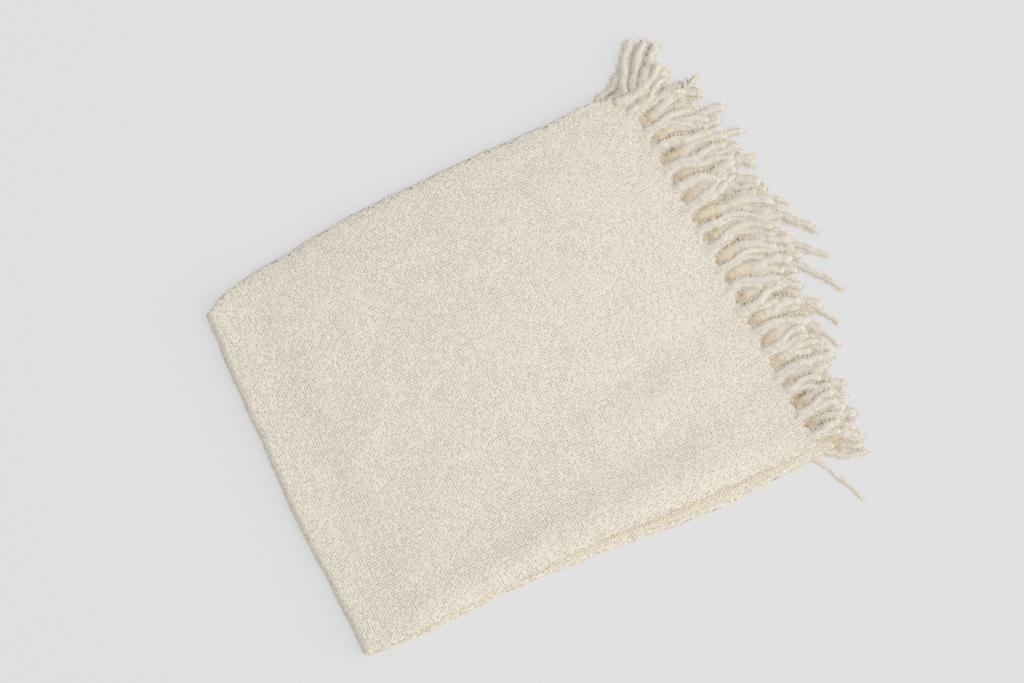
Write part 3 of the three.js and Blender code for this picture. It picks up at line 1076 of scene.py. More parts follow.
@dataclass
class BoucleFace:
    """The boucle face of the cloth: a lump where each pair of threads crosses, and loose fibres."""

    shape: FoldShape
    lump: Lump
    pitch_along: float = 4.52
    pitch_across: float = 4.68
    length: float = 3.45
    width: float = 3.0
    height: float = 0.55
    depth: float = 1.5
    jitter: float = 1.25
    wander: float = 1.0
    turn: float = 0.6
    tilt: float = 0.06
    depth_spread: float = 0.1
    size_spread: float = 0.12
    side_spread: float = 0.1
    tallest: float = 1.2
    slub_share: float = 0.04
    slub_size: tuple[float, float] = (1.1, 1.35)
    tone: float = 0.5
    tone_spread: float = 0.16
    close_fluff: float = 0.6
    fluffy_size: float = 0.03
    fluffy_tone: float = 0.05
    edge_inset: float = 0.4
    selvedge_inset: float = 0.6
    selvedge_end: float = 758.0
    guide_steps: int = 900
    sample_steps: int = 800
    fibre_share: float = 0.7
    fibre_root: float = 0.85
    fibre_length: float = 6.5
    fibre_lengths: tuple[float, float] = (0.5, 1.25)
    fibre_stand: tuple[float, float] = (1.2, 0.16)
    fibre_stand_most: float = 0.4
    fibre_tones: tuple[float, float] = (0.3, 1.0)
    edge_tufts: float = 2.2
    edge_length: float = 5.0
    edge_lengths: tuple[float, float] = (0.5, 1.3)
    edge_width: float = 0.75
    # The painted light at the feet of the edge tufts, a slight painted shade.
    edge_foot: float = 0.95
    edge_tangle: float = 0.45
    edge_roots: tuple[float, float] = (0.3, 1.0)
    seed: int = 21
    fibre_seed: int = 28
    edge_seed: int = 32

    def places(self, region: Region) -> tuple[Array, Array, Array]:
        """Spreads crossings evenly over a region.

        Args:
            region: The stretch of cloth.

        Returns:
            Places along and across the flat cloth, and which thread lies on top, 0 or 1.
        """
        shape = self.shape
        guide = np.linspace(region.along_start, region.along_stop, self.guide_steps)
        middle = (region.across_start + region.across_stop) / 2
        line = shape.surface(guide, middle, region.face, self.depth + self.height)
        columns = even_places(guide, line, self.pitch_along)
        sample = np.linspace(region.across_start, region.across_stop, self.sample_steps)
        along = []
        across = []
        over = []
        for count, column in enumerate(columns):
            section = shape.surface(column, sample, region.face, self.depth + self.height)
            rows = even_places(sample, section, self.pitch_across)
            along.append(np.full(len(rows), column))
            across.append(rows)
            over.append((np.arange(len(rows)) + count) % 2)
        return np.concatenate(along), np.concatenate(across), np.concatenate(over)

    def selvedges(self) -> tuple[Array, Array, Array]:
        """Spreads crossings along both selvedges.

        Returns:
            Places along and across the flat cloth, and which thread lies on top, 0 or 1.
        """
        places = np.arange(-self.selvedge_end, self.selvedge_end + 1.0, self.pitch_along)
        along = np.concatenate([places, places])
        half = self.shape.half_width - self.selvedge_inset
        across = np.concatenate([np.full(len(places), -half), np.full(len(places), half)])
        return along, across, np.ones(len(along), int)

    def lay(
        self,
        parts: MeshParts,
        places: tuple[Array, Array, Array],
        face: Face,
        depth: float,
        shade: float,
    ) -> None:
        """Copies the lump onto crossings, each with its own size, turn and tone.

        Args:
            parts: The mesh to add to.
            places: Places along and across, and which thread lies on top.
            face: The face that the lumps stand on.
            depth: How far from the cloth's middle they sit.
            shade: How open to the light they lie, from 0 to 1.
        """
        along, across, over = places
        rng = np.random.default_rng(self.seed + parts.count)
        count = len(along)
        drift = self.wander * DRIFT_ALONG.at(along, across)
        sway = self.wander * DRIFT_ACROSS.at(along, across)
        along = along + drift + rng.uniform(-self.jitter, self.jitter, count)
        across = across + sway + rng.uniform(-self.jitter, self.jitter, count)
        limit = self.shape.half_width - self.edge_inset
        across = np.clip(across, -limit, limit)
        points, forward, _, outward = self.shape.frames(along, across, face)
        sideways = np.cross(outward, forward)
        fluffy = BROAD_FLUFF.at(along, across) + self.close_fluff * CLOSE_FLUFF.at(along, across)
        size = np.exp(rng.normal(0.0, self.size_spread, count)) * (1.0 + self.fluffy_size * fluffy)
        slub = rng.uniform(0.0, 1.0, count) < self.slub_share
        size = np.where(slub, size * rng.uniform(*self.slub_size, count), size)
        turn = over * QUARTER_TURN + rng.normal(0.0, self.turn, count)
        cosine = np.cos(turn)[:, None]
        sine = np.sin(turn)[:, None]
        first = forward * cosine + sideways * sine
        second = sideways * cosine - forward * sine
        lean = rng.normal(0.0, self.tilt, (count, 2))
        crown = unit(outward + first * lean[:, :1] + second * lean[:, 1:])
        first = unit(first - crown * np.sum(first * crown, axis=1, keepdims=True))
        axes = Axes(first, np.cross(crown, first), crown)
        tall = self.height * np.minimum(size, self.tallest)
        sizes = np.stack([self.length * size, self.width * size, tall], axis=-1)
        sizes = sizes * rng.uniform(1.0 - self.side_spread, 1.0 + self.side_spread, (count, 3))
        middle = points + outward * (depth + rng.normal(0.0, self.depth_spread, count))[:, None]
        tone = rng.normal(self.tone, self.tone_spread, count) + self.fluffy_tone * fluffy
        tone = np.clip(tone, 0.0, 1.0)
        self.lump.copy(parts, middle, axes, sizes, tone, np.full(count, shade), rng)

    def fluff(self, parts: MeshParts, places: tuple[Array, Array, Array], face: Face) -> None:
        """Lays loose fibres over crossings, most of them close to the cloth.

        Args:
            parts: The mesh to add to.
            places: Places along and across, and which thread lies on top.
            face: The face that the fibres lie on.
        """
        along, across, _ = places
        rng = np.random.default_rng(self.fibre_seed + parts.count)
        picked = rng.choice(len(along), int(len(along) * self.fibre_share))
        reach = 0.5 * self.pitch_along
        along = along[picked] + rng.uniform(-reach, reach, len(picked))
        across = across[picked] + rng.uniform(-reach, reach, len(picked))
        points, forward, _, outward = self.shape.frames(along, across, face)
        sideways = np.cross(outward, forward)
        turn = rng.uniform(0.0, 2 * math.pi, len(picked))
        flat = forward * np.cos(turn)[:, None] + sideways * np.sin(turn)[:, None]
        standing = np.minimum(rng.gamma(*self.fibre_stand, len(picked)), self.fibre_stand_most)
        heading = unit(flat + outward * standing[:, None])
        length = self.fibre_length * rng.uniform(*self.fibre_lengths, len(picked))
        root = points + outward * (self.depth + self.fibre_root * self.height)
        tone = rng.uniform(*self.fibre_tones, len(picked))
        Spike().copy(parts, root, heading, length, tone, np.ones(len(picked)))

    def edge_fluff(self, parts: MeshParts, edge: EdgeRow) -> None:
        """Rings a fold or a selvedge with short tufts that stand off it.

        Args:
            parts: The mesh to add to.
            edge: The edge.
        """
        rng = np.random.default_rng(self.edge_seed + parts.count)
        reach = max(abs(edge.along_stop - edge.along_start), abs(edge.across_stop - edge.across_start))
        count = int(reach * self.edge_tufts)
        along = rng.uniform(edge.along_start, edge.along_stop, count)
        across = rng.uniform(edge.across_start, edge.across_stop, count)
        points, forward, _, outward = self.shape.frames(along, across, Face.OUTER)
        sideways = np.cross(outward, forward)
        away = outward if edge.fold else sideways * np.sign(sideways[:, 1:2])
        heading = unit(away + rng.normal(0.0, self.edge_tangle, (count, 3)))
        length = self.edge_length * rng.uniform(*self.edge_lengths, count)
        root = points + outward * rng.uniform(*self.edge_roots, count)[:, None] * self.depth
        tone = rng.uniform(*self.fibre_tones, count)
        spike = Spike(self.edge_width, self.edge_foot)
        spike.copy(parts, root, heading, length, tone, np.ones(count))

    def build(self) -> list[bpy.types.Object]:
        """Makes the lumps and fibres of every region.

        Returns:
            The pieces.
        """
        gathered: dict[str, MeshParts] = {}
        fibres = MeshParts()
        for region in REGIONS:
            parts = gathered.setdefault(region.piece, MeshParts())
            places = self.places(region)
            self.lay(parts, places, region.face, self.depth, region.shade)
            if region.shade == FULL_LIGHT:
                self.fluff(fibres, places, region.face)
        self.lay(gathered["boucle_lower_layers"], self.selvedges(), Face.OUTER, 0.0, FULL_LIGHT)
        for edge in EDGES:
            self.edge_fluff(fibres, edge)
        gathered["boucle_fibres"] = fibres
        return [parts.piece(name) for name, parts in gathered.items()]


class LockPath(NamedTuple):
    """The middle line of one lock, its sideways direction and distance from the cloth, and its build."""

    points: Array
    sideways: Array
    distance: Array
    length: float
    notch: float
    girth: float


class Strand(NamedTuple):
    """One strand of a lock: its middle line, directions, half sizes and distance from the cloth."""

    centre: Array
    forward: Array
    sideways: Array
    wide: Array
    high: Array
    distance: Array


class StrayRow(NamedTuple):
    """A thin strand that has come loose: its end, start, tip, bow, half width and lowest height."""

    end: End
    start_x: float
    start_y: float
    tip_x: float
    tip_y: float
    bow: float
    wide: float
    rest: float


STRAYS = (
    StrayRow(End.LOWER, 332, 331, 400, 365, -6, 6.6, 2),
    StrayRow(End.LOWER, 380, 320, 431, 399, 6, 8.0, 3),
    StrayRow(End.LOWER, 392, 314, 450, 388, 5, 8.2, 3),
    StrayRow(End.LOWER, 404, 306, 465, 374, 4, 8.0, 2),
    StrayRow(End.UPPER, 352, 320, 416, 347, -3, 7.0, 5),
    StrayRow(End.UPPER, 358, 316, 452, 340, -12, 7.6, 11),
    StrayRow(End.UPPER, 368, 305, 456, 314, 7, 7.4, 9),
    StrayRow(End.UPPER, 367, 292, 462, 284, 8, 7.0, 9),
    StrayRow(End.UPPER, 440, 262, 476, 299, -6, 3.4, 6),
    StrayRow(End.UPPER, 446, 262, 500, 298, 5, 3.6, 6),
    StrayRow(End.LOWER, 470, 160, 512, 126, 4, 5.0, 3),
    StrayRow(End.LOWER, 478, 92, 528, 48, 6, 4.2, 1),
    StrayRow(End.LOWER, 469, 68, 549, -12, 7, 6.4, 1),
    StrayRow(End.LOWER, 464, 19, 546, -55, 5, 5.0, 1),
    StrayRow(End.LOWER, 462, -10, 541, -111, 6, 4.6, 1),
    StrayRow(End.LOWER, 468, -88, 508, -157, 4, 4.0, 1),
    StrayRow(End.LOWER, 462, -130, 492, -186, 3, 3.6, 1),
    StrayRow(End.LOWER, 385, -312, 452, -352, -8, 4.8, 1),
    StrayRow(End.LOWER, 366, -309, 411, -413, 2, 3.4, 0),
)


@dataclass(frozen=True)
class FluffStyle:
    """The short tufts or the finer hairs that stand off a strand."""

    width: float
    # The painted light at a fibre's foot against its tip: painted shade at the root.
    foot: float
    length: float
    lengths: tuple[float, float]
    tones: tuple[float, float]
    tangle: float
    standing: float


TUFT = FluffStyle(
    width=0.85, foot=0.68, length=6.2, lengths=(0.5, 1.3), tones=(0.2, 1.0), tangle=0.25, standing=0.75
)
HAIR = FluffStyle(
    width=0.42, foot=1.0, length=8.0, lengths=(0.5, 1.3), tones=(0.4, 1.0), tangle=0.25, standing=0.65
)


@dataclass
class Fringe:
    """The fringe of one end: fluffy locks that leave two layers of the cloth."""

    shape: FoldShape
    name: str
    end: End
    outer_layer: Layer
    inner_layer: Layer
    seed: int
    locks_per_layer: int = 17
    strip: float = 7.5
    root_overlap: float = 4.0
    length_spread: float = 14.0
    lane_spread: float = 5.5
    lane_step: float = 3.7
    scatter_step: float = 12.9898
    scatter_start: float = 4.1414
    scatter_size: float = 43758.5453
    fan_line: float = 395.0
    leave_length: float = 14.0
    bend_length: float = 70.0
    fall_start: float = 8.0
    fall_end: float = 90.0
    inset: float = 14.0
    sides: int = 10
    strands: int = 2
    strand_wide: float = 6.4
    strand_high: float = 3.9
    strand_offset: float = 2.4
    pressed: float = 1.3
    root_wide: float = 9.4
    root_high: float = 1.9
    root_spread: float = 17.6
    root_sink: float = 1.3
    root_lift: float = -0.3
    root_rises: float = -2.0
    inner_lift: float = 3.0
    inner_reach: float = 14.0
    swing_slow: float = 0.28
    swing_slow_length: float = 16.0
    swing_quick: float = 0.2
    swing_quick_length: float = 8.0
    swing_turn: float = 0.15
    swing_reach: tuple[float, float] = (5.0, 55.0)
    rest_wave: float = 0.8
    rest_wave_length: float = 17.0
    notch: float = 15.0
    notches: tuple[float, float] = (0.55, 1.45)
    notch_shift: float = 4.0
    girths: tuple[float, float] = (0.8, 1.26)
    twist: float = 1.6
    twist_start: float = 0.4
    parting: float = 11.0
    parting_spread: float = 4.0
    parting_reach: tuple[float, float] = (0.22, 0.85)
    strand_above: float = 0.4
    strand_ends: tuple[float, float] = (0.8, 1.0)
    thick_slow: float = 0.1
    thick_slow_length: float = 6.5
    thick_quick: float = 0.07
    thick_quick_length: float = 2.9
    thickness: tuple[float, float] = (0.88, 1.14)
    tip_taper: float = 0.72
    tip_round: float = 0.07
    tip_end: float = 0.12
    rib_pitch: float = 5.2
    rib_rise: float = 0.11
    knots: float = 0.14
    knot_blend: float = 0.25
    # Painted light and shade on the strands: their sides and underside darker than their tops, swelling
    # knots lighter.
    knot_rise: float = 0.2
    knot_tone: float = 0.4
    side_rise: float = 0.44
    top_rise: float = 0.52
    least_rise: float = 0.05
    tip_rise: float = 0.4
    core_tone: float = 0.5
    # Painted shade on the lower layers' strands near the roots, fading out along them, and a little on
    # the loose strands.
    deep_shade: float = 0.42
    shade_reach: tuple[float, float] = (0.12, 0.55)
    stray_wave: float = 0.9
    stray_wave_length: float = 7.0
    stray_high: float = 0.8
    stray_lift: float = 4.0
    stray_lift_reach: float = 0.5
    stray_start: float = 0.02
    stray_shade: float = 0.95
    tuft: FluffStyle = TUFT
    tufts_round: int = 18
    first_tuft: int = 5
    tufts_beside: float = 0.72
    tuft_edge: float = 0.3
    tuft_top: float = 0.2
    tuft_sink: float = 0.5
    tuft_scatter: float = 1.0
    tuft_scale: tuple[float, float] = (0.4, 1.2)
    # Tufts on a strand's sides are painted darker than those on top: painted shade.
    tuft_side_light: float = 0.78
    tuft_top_light: float = 0.34
    lean_beside: tuple[float, float] = (0.3, 0.4)
    lean_on_top: tuple[float, float] = (0.9, 1.2)
    hair: FluffStyle = HAIR
    hairs_per_strand: int = 70
    first_hair: int = 3
    hairs_past_tip: float = 1.15
    lean_at_tip: float = 1.2
    lean_along: float = 0.3
    lean_spread: float = 0.6

    def scatter(self, number: float) -> float:
        """Gives a repeatable number from -1 to 1, the same as the solids use."""
        wave = math.sin(number * self.scatter_step + self.scatter_start) * self.scatter_size
        return 2.0 * (wave - math.floor(wave)) - 1.0

    def root(self, side: float, y: float) -> Array:
        """Finds where a lock leaves its layer.

        Args:
            side: -1 for the outer layer, 1 for the inner one.
            y: The lock's lane across the throw.

        Returns:
            The point at the cloth's end.
        """
        along = self.end.value * self.shape.half_length
        arc = QUARTER_TURN * self.shape.side_radius
        fold_y = self.shape.point(along, side * arc)[1]
        edge_y = self.shape.point(along, side * self.shape.half_width)[1]
        share = (y - fold_y) / (edge_y - fold_y)
        return self.shape.point(along, side * lerp(arc, self.shape.half_width, share))

    def path(self, side: float, layer: LayerRow, index: int, rng: np.random.Generator) -> LockPath:
        """Lays one lock: straight out of the cloth, then bent with the fan and down to its rest.

        Args:
            side: -1 for the outer layer, 1 for the inner one.
            layer: The layer's row.
            index: The lock's number along the edge.
            rng: The fringe's own random numbers.

        Returns:
            The lock's path.
        """
        aside = self.lane_spread * self.scatter(self.lane_step * index + layer.end_x)
        root = self.root(side, layer.first_lock + index * layer.pitch + aside)
        share = read_table(FAN, "share", root[1])
        spread = self.length_spread * self.scatter(index + layer.end_x)
        length = float(share * layer.lock_length + spread) + self.strip - self.root_overlap
        distance = np.arange(-self.inset, length, self.rib_pitch / 2)
        step = distance[1] - distance[0]
        reach = root[0] - self.fan_line + distance
        bend = float(read_table(FAN, "heading", root[1]))
        leave = float(read_table(FAN, "leave", root[1]))
        turned = lerp(leave, bend, smoothstep(reach, 0.0, self.bend_length))
        heading = np.radians(turned) * smoothstep(distance, 0.0, self.leave_length)
        phase = rng.uniform(0.0, 2 * math.pi)
        slow = self.swing_slow * np.sin(distance / self.swing_slow_length + phase)
        quick = self.swing_quick * np.sin(distance / self.swing_quick_length + 2 * phase)
        swing = slow + quick + rng.normal(0.0, self.swing_turn)
        heading = heading + swing * smoothstep(distance, *self.swing_reach)
        moves = np.stack([np.cos(heading), np.sin(heading)], axis=-1) * step
        plan = root[:2] + np.cumsum(moves, axis=0) - moves[0] - np.array([self.inset, 0.0])
        fall = smoothstep(reach, self.fall_start, self.fall_end)
        rest = layer.rest_height + self.strand_high
        leaving = smoothstep(distance, -self.inset, self.root_rises)
        emerge = lerp(-self.root_sink, self.root_lift, leaving)
        if layer is not Layer.UPPER_OUTER.value:
            emerge = emerge + self.inner_lift * smoothstep(distance, 0.0, self.inner_reach)
        wave = self.rest_wave * np.sin(distance / self.rest_wave_length + phase)
        height = lerp(root[2] + emerge, rest, fall) + wave * fall
        points = np.concatenate([plan, height[:, None]], axis=1)
        sideways = np.stack([-np.sin(heading), np.cos(heading), np.zeros(len(heading))], axis=-1)
        notch = self.notch * rng.uniform(*self.notches)
        girth = float(read_table(FAN, "girth", root[1])) * rng.uniform(*self.girths)
        return LockPath(points, sideways, distance, length, notch, girth)

    def outline(self, share: Array, ends_at: float, distance: Array, rng: np.random.Generator) -> Array:
        """Gives a strand's share of its full size: uneven along it, ribbed, and round at the tip.

        Args:
            share: How far along the lock each ring lies.
            ends_at: Where the strand ends.
            distance: The rings' distance from the cloth.
            rng: The fringe's own random numbers.

        Returns:
            The share of the full size at each ring.
        """
        past = np.clip((share - ends_at + self.tip_round) / self.tip_round, 0.0, 1.0)
        phase = rng.uniform(0.0, 2 * math.pi, 2)
        slow = self.thick_slow * np.sin(distance / self.thick_slow_length + phase[0])
        quick = self.thick_quick * np.sin(distance / self.thick_quick_length + phase[1])
        uneven = 1.0 + slow + quick
        ribbed = 1.0 + self.rib_rise * np.where(np.arange(len(share)) % 2, 1.0, -1.0)
        taper = lerp(1.0, self.tip_taper, np.clip(share, 0.0, 1.0) ** 2) * rng.uniform(*self.thickness)
        return uneven * ribbed * taper * np.maximum(np.sqrt(1.0 - past * past), self.tip_end)

    def strand(self, path: LockPath, number: int, flat: float, rng: np.random.Generator) -> Strand:
        """Lays one strand of a lock: flat and spread at the root, gathered past it, loose at the tip.

        Args:
            path: The lock's path.
            number: The strand's number in the lock.
            flat: How much wider it lies than on top of the pile.
            rng: The fringe's own random numbers.

        Returns:
            The strand.
        """
        distance = path.distance
        share = np.clip(distance / path.length, 0.0, 1.0)
        start = rng.uniform(-self.twist_start, self.twist_start)
        angle = math.pi * number + start + self.twist * share
        place = number - (self.strands - 1) / 2
        opened = np.clip((distance + rng.uniform(0.0, self.notch_shift)) / path.notch, 0.0, 1.0)
        gathered = np.sqrt(1.0 - (1.0 - opened) ** 2)
        splay = path.girth * (rng.normal(0.0, self.parting_spread) - place * self.parting)
        splay = splay * smoothstep(share, *self.parting_reach)
        beside = lerp(-place * self.root_spread, self.strand_offset * np.cos(angle) + splay, gathered)
        above = self.strand_above * self.strand_offset * np.sin(angle) * gathered
        ends_at = rng.uniform(*self.strand_ends)
        size = self.outline(share, ends_at, distance, rng)
        wide = lerp(self.root_wide, self.strand_wide * path.girth * flat, gathered) * size
        high = lerp(self.root_high, self.strand_high * path.girth, gathered) * size
        centre = path.points + path.sideways * beside[:, None]
        centre[:, 2] = centre[:, 2] + above
        last = min(int(np.searchsorted(share, ends_at)) + 1, len(share))
        return self.cut(centre, wide, high, distance, last)

    @staticmethod
    def cut(centre: Array, wide: Array, high: Array, distance: Array, last: int) -> Strand:
        """Ends a strand after a number of rings and finds its directions.

        Args:
            centre: The strand's middle line, ring by ring.
            wide: Its half widths.
            high: Its half heights.
            distance: The rings' distance from the cloth.
            last: The number of rings to keep.

        Returns:
            The strand.
        """
        forward = unit(np.gradient(centre, axis=0))
        side = unit(np.cross(np.array([0.0, 0.0, 1.0]), forward))
        columns = (centre, forward, side, wide, high, distance)
        return Strand(*(column[:last] for column in columns))

    def stray(self, row: StrayRow, rng: np.random.Generator) -> Strand:
        """Lays one loose strand along its bow, down to its rest.

        Args:
            row: The strand's row.
            rng: The fringe's own random numbers.

        Returns:
            The strand.
        """
        start = np.array([row.start_x, row.start_y])
        whole = np.array([row.tip_x, row.tip_y]) - start
        length = float(np.linalg.norm(whole))
        distance = np.arange(0.0, length, self.rib_pitch / 2)
        share = distance / length
        aside = np.array([-whole[1], whole[0]]) / length
        wave = self.stray_wave * np.sin(distance / self.stray_wave_length + row.bow)
        swing = row.bow * np.sin(math.pi * share) + wave
        plan = start + whole * share[:, None] + aside * swing[:, None]
        rounded = np.sqrt(np.clip(share / self.tip_round, self.stray_start, 1.0))
        size = self.outline(share, 1.0, distance, rng) * rounded
        high = row.wide * self.stray_high
        lifted = 1.0 - smoothstep(share, 0.0, self.stray_lift_reach)
        height = row.rest + high + self.stray_lift * lifted
        centre = np.concatenate([plan, height[:, None]], axis=1)
        return self.cut(centre, row.wide * size, high * size, distance, len(distance))

    def core(self, parts: MeshParts, strand: Strand, shade: Array, rng: np.random.Generator) -> None:
        """Adds the body of a strand as a closed tube with a knotty skin.

        Args:
            parts: The mesh to add to.
            strand: The strand.
            shade: How open to the light each place along it lies.
            rng: The fringe's own random numbers.
        """
        count = len(strand.centre)
        turns = np.arange(self.sides) * 2 * math.pi / self.sides
        knots = rng.uniform(-1.0, 1.0, (count, self.sides))
        knots = lerp(knots, np.roll(knots, 1, axis=1), self.knot_blend)
        swollen = 1.0 + self.knots * knots
        reach = strand.wide[:, None] * swollen * np.cos(turns)
        ring = strand.centre[:, None, :] + reach[..., None] * strand.sideways[:, None, :]
        ring[..., 2] += strand.high[:, None] * swollen * np.sin(turns)
        index = np.arange(count * self.sides).reshape(count, self.sides)
        after = np.roll(index, -1, axis=1)
        quads = np.stack([index[:-1], after[:-1], after[1:], index[1:]], axis=-1).reshape(-1, 4)
        start = np.full(self.sides, count * self.sides)
        near = np.stack([start, after[0], index[0]], axis=-1)
        far = np.stack([start + 1, index[-1], after[-1]], axis=-1)
        points = np.concatenate([ring.reshape(-1, 3), strand.centre[:1], strand.centre[-1:]])
        # Painted shade: the strand's sides and underside are coloured darker and warmer than its top,
        # and swelling knots lighter.
        rise = self.side_rise + self.top_rise * np.sin(turns) + self.knot_rise * knots
        rise = shade[:, None] * np.clip(rise, self.least_rise, 1.0)
        rise = np.concatenate([rise.ravel(), np.full(2, self.tip_rise)])
        tone = self.core_tone + self.knot_tone * knots
        tone = np.concatenate([tone.ravel(), np.full(2, self.core_tone)])
        parts.add(points, triangles=np.concatenate([near, far]), quads=quads, tone=tone, rise=rise)

    def around(self, strand: Strand, row: Array, turn: Array) -> tuple[Array, Array]:
        """Finds places on a strand's skin.

        Args:
            strand: The strand.
            row: The ring of each place.
            turn: Its angle round the strand.

        Returns:
            The places and their outward directions.
        """
        up = np.array([0.0, 0.0, 1.0])
        cosine = np.cos(turn)[:, None]
        sine = np.sin(turn)[:, None]
        side = strand.sideways[row]
        wide = strand.wide[row][:, None]
        high = strand.high[row][:, None]
        skin = strand.centre[row] + cosine * side * wide + sine * up * high
        return skin, unit(cosine * side * high + sine * up * wide)

    def tufts(self, parts: MeshParts, strand: Strand, shade: Array, rng: np.random.Generator) -> None:
        """Rings a strand with short tufts, rib after rib.

        Args:
            parts: The mesh to add to.
            strand: The strand.
            shade: How open to the light each place along it lies.
            rng: The fringe's own random numbers.
        """
        tuft = self.tuft
        row = np.repeat(np.arange(self.first_tuft, len(strand.centre), 2), self.tufts_round)
        count = len(row)
        forward = strand.forward[row]
        beside = rng.uniform(0.0, 1.0, count) < self.tufts_beside
        edge = math.pi * rng.integers(0, 2, count) + rng.normal(0.0, self.tuft_edge, count)
        turn = np.where(beside, edge, rng.uniform(self.tuft_top, math.pi - self.tuft_top, count))
        skin, outward = self.around(strand, row, turn)
        lean = rng.normal(*self.lean_beside, count)
        lean = np.where(beside, lean, rng.normal(*self.lean_on_top, count))
        heading = unit(outward + forward * lean[:, None] + rng.normal(0.0, tuft.tangle, (count, 3)))
        heading[:, 2] = tuft.standing * heading[:, 2]
        scale = np.clip(strand.wide[row] / self.strand_wide, *self.tuft_scale)
        length = tuft.length * rng.uniform(*tuft.lengths, count) * scale
        scatter = rng.normal(0.0, self.tuft_scatter, count)
        root = skin - outward * self.tuft_sink + forward * scatter[:, None]
        # Painted shade: tufts on the sides are coloured darker than those on top.
        light = np.clip(self.tuft_side_light + self.tuft_top_light * np.sin(turn), 0.0, 1.0)
        tone = rng.uniform(*tuft.tones, count)
        Spike(tuft.width, tuft.foot).copy(parts, root, heading, length, tone, shade[row] * light)

    def hairs(self, parts: MeshParts, strand: Strand, shade: Array, rng: np.random.Generator) -> None:
        """Adds the loose fibres round a strand, more of them at its tip.

        Args:
            parts: The mesh to add to.
            strand: The strand.
            shade: How open to the light each place along it lies.
            rng: The fringe's own random numbers.
        """
        hair = self.hair
        count = self.hairs_per_strand
        last = len(strand.centre) - 1
        row = np.minimum(rng.integers(self.first_hair, int(self.hairs_past_tip * last), count), last)
        turn = rng.uniform(0.0, 2 * math.pi, count)
        skin, outward = self.around(strand, row, turn)
        lean = np.where(row == last, self.lean_at_tip, self.lean_along)
        lean = lean + rng.normal(0.0, self.lean_spread, count)
        lying = strand.forward[row] * lean[:, None]
        heading = unit(outward + lying + rng.normal(0.0, hair.tangle, (count, 3)))
        heading[:, 2] = hair.standing * np.abs(heading[:, 2])
        length = hair.length * rng.uniform(*hair.lengths, count)
        tone = rng.uniform(*hair.tones, count)
        Spike(hair.width, hair.foot).copy(parts, skin, heading, length, tone, shade[row])

    def build(self) -> list[bpy.types.Object]:
        """Makes the locks, the loose strands and their fibres.

        Returns:
            The locks' piece and the fibres' piece.
        """
        rng = np.random.default_rng(self.seed)
        locks = MeshParts()
        fibres = MeshParts()
        strands = []
        for side, layer in ((-1.0, self.outer_layer), (1.0, self.inner_layer)):
            for index in range(self.locks_per_layer):
                path = self.path(side, layer.value, index, rng)
                for number in range(self.strands):
                    on_top = layer is Layer.UPPER_OUTER
                    strand = self.strand(path, number, 1.0 if on_top else self.pressed, rng)
                    # Painted shade: strands of the lower layers are coloured darker and warmer near
                    # their roots, and the loose strands a little.
                    shade = np.ones(len(strand.distance))
                    if not on_top:
                        share = strand.distance / strand.distance[-1]
                        shade = lerp(self.deep_shade, 1.0, smoothstep(share, *self.shade_reach))
                    strands.append((strand, shade))
        for row in STRAYS:
            if row.end is self.end:
                strand = self.stray(row, rng)
                strands.append((strand, np.full(len(strand.distance), self.stray_shade)))
        for strand, shade in strands:
            self.core(locks, strand, shade, rng)
            self.tufts(fibres, strand, np.sqrt(shade), rng)
            self.hairs(fibres, strand, shade, rng)
        return [locks.piece(f"{self.name}_wool"), fibres.piece(f"{self.name}_fibres")]


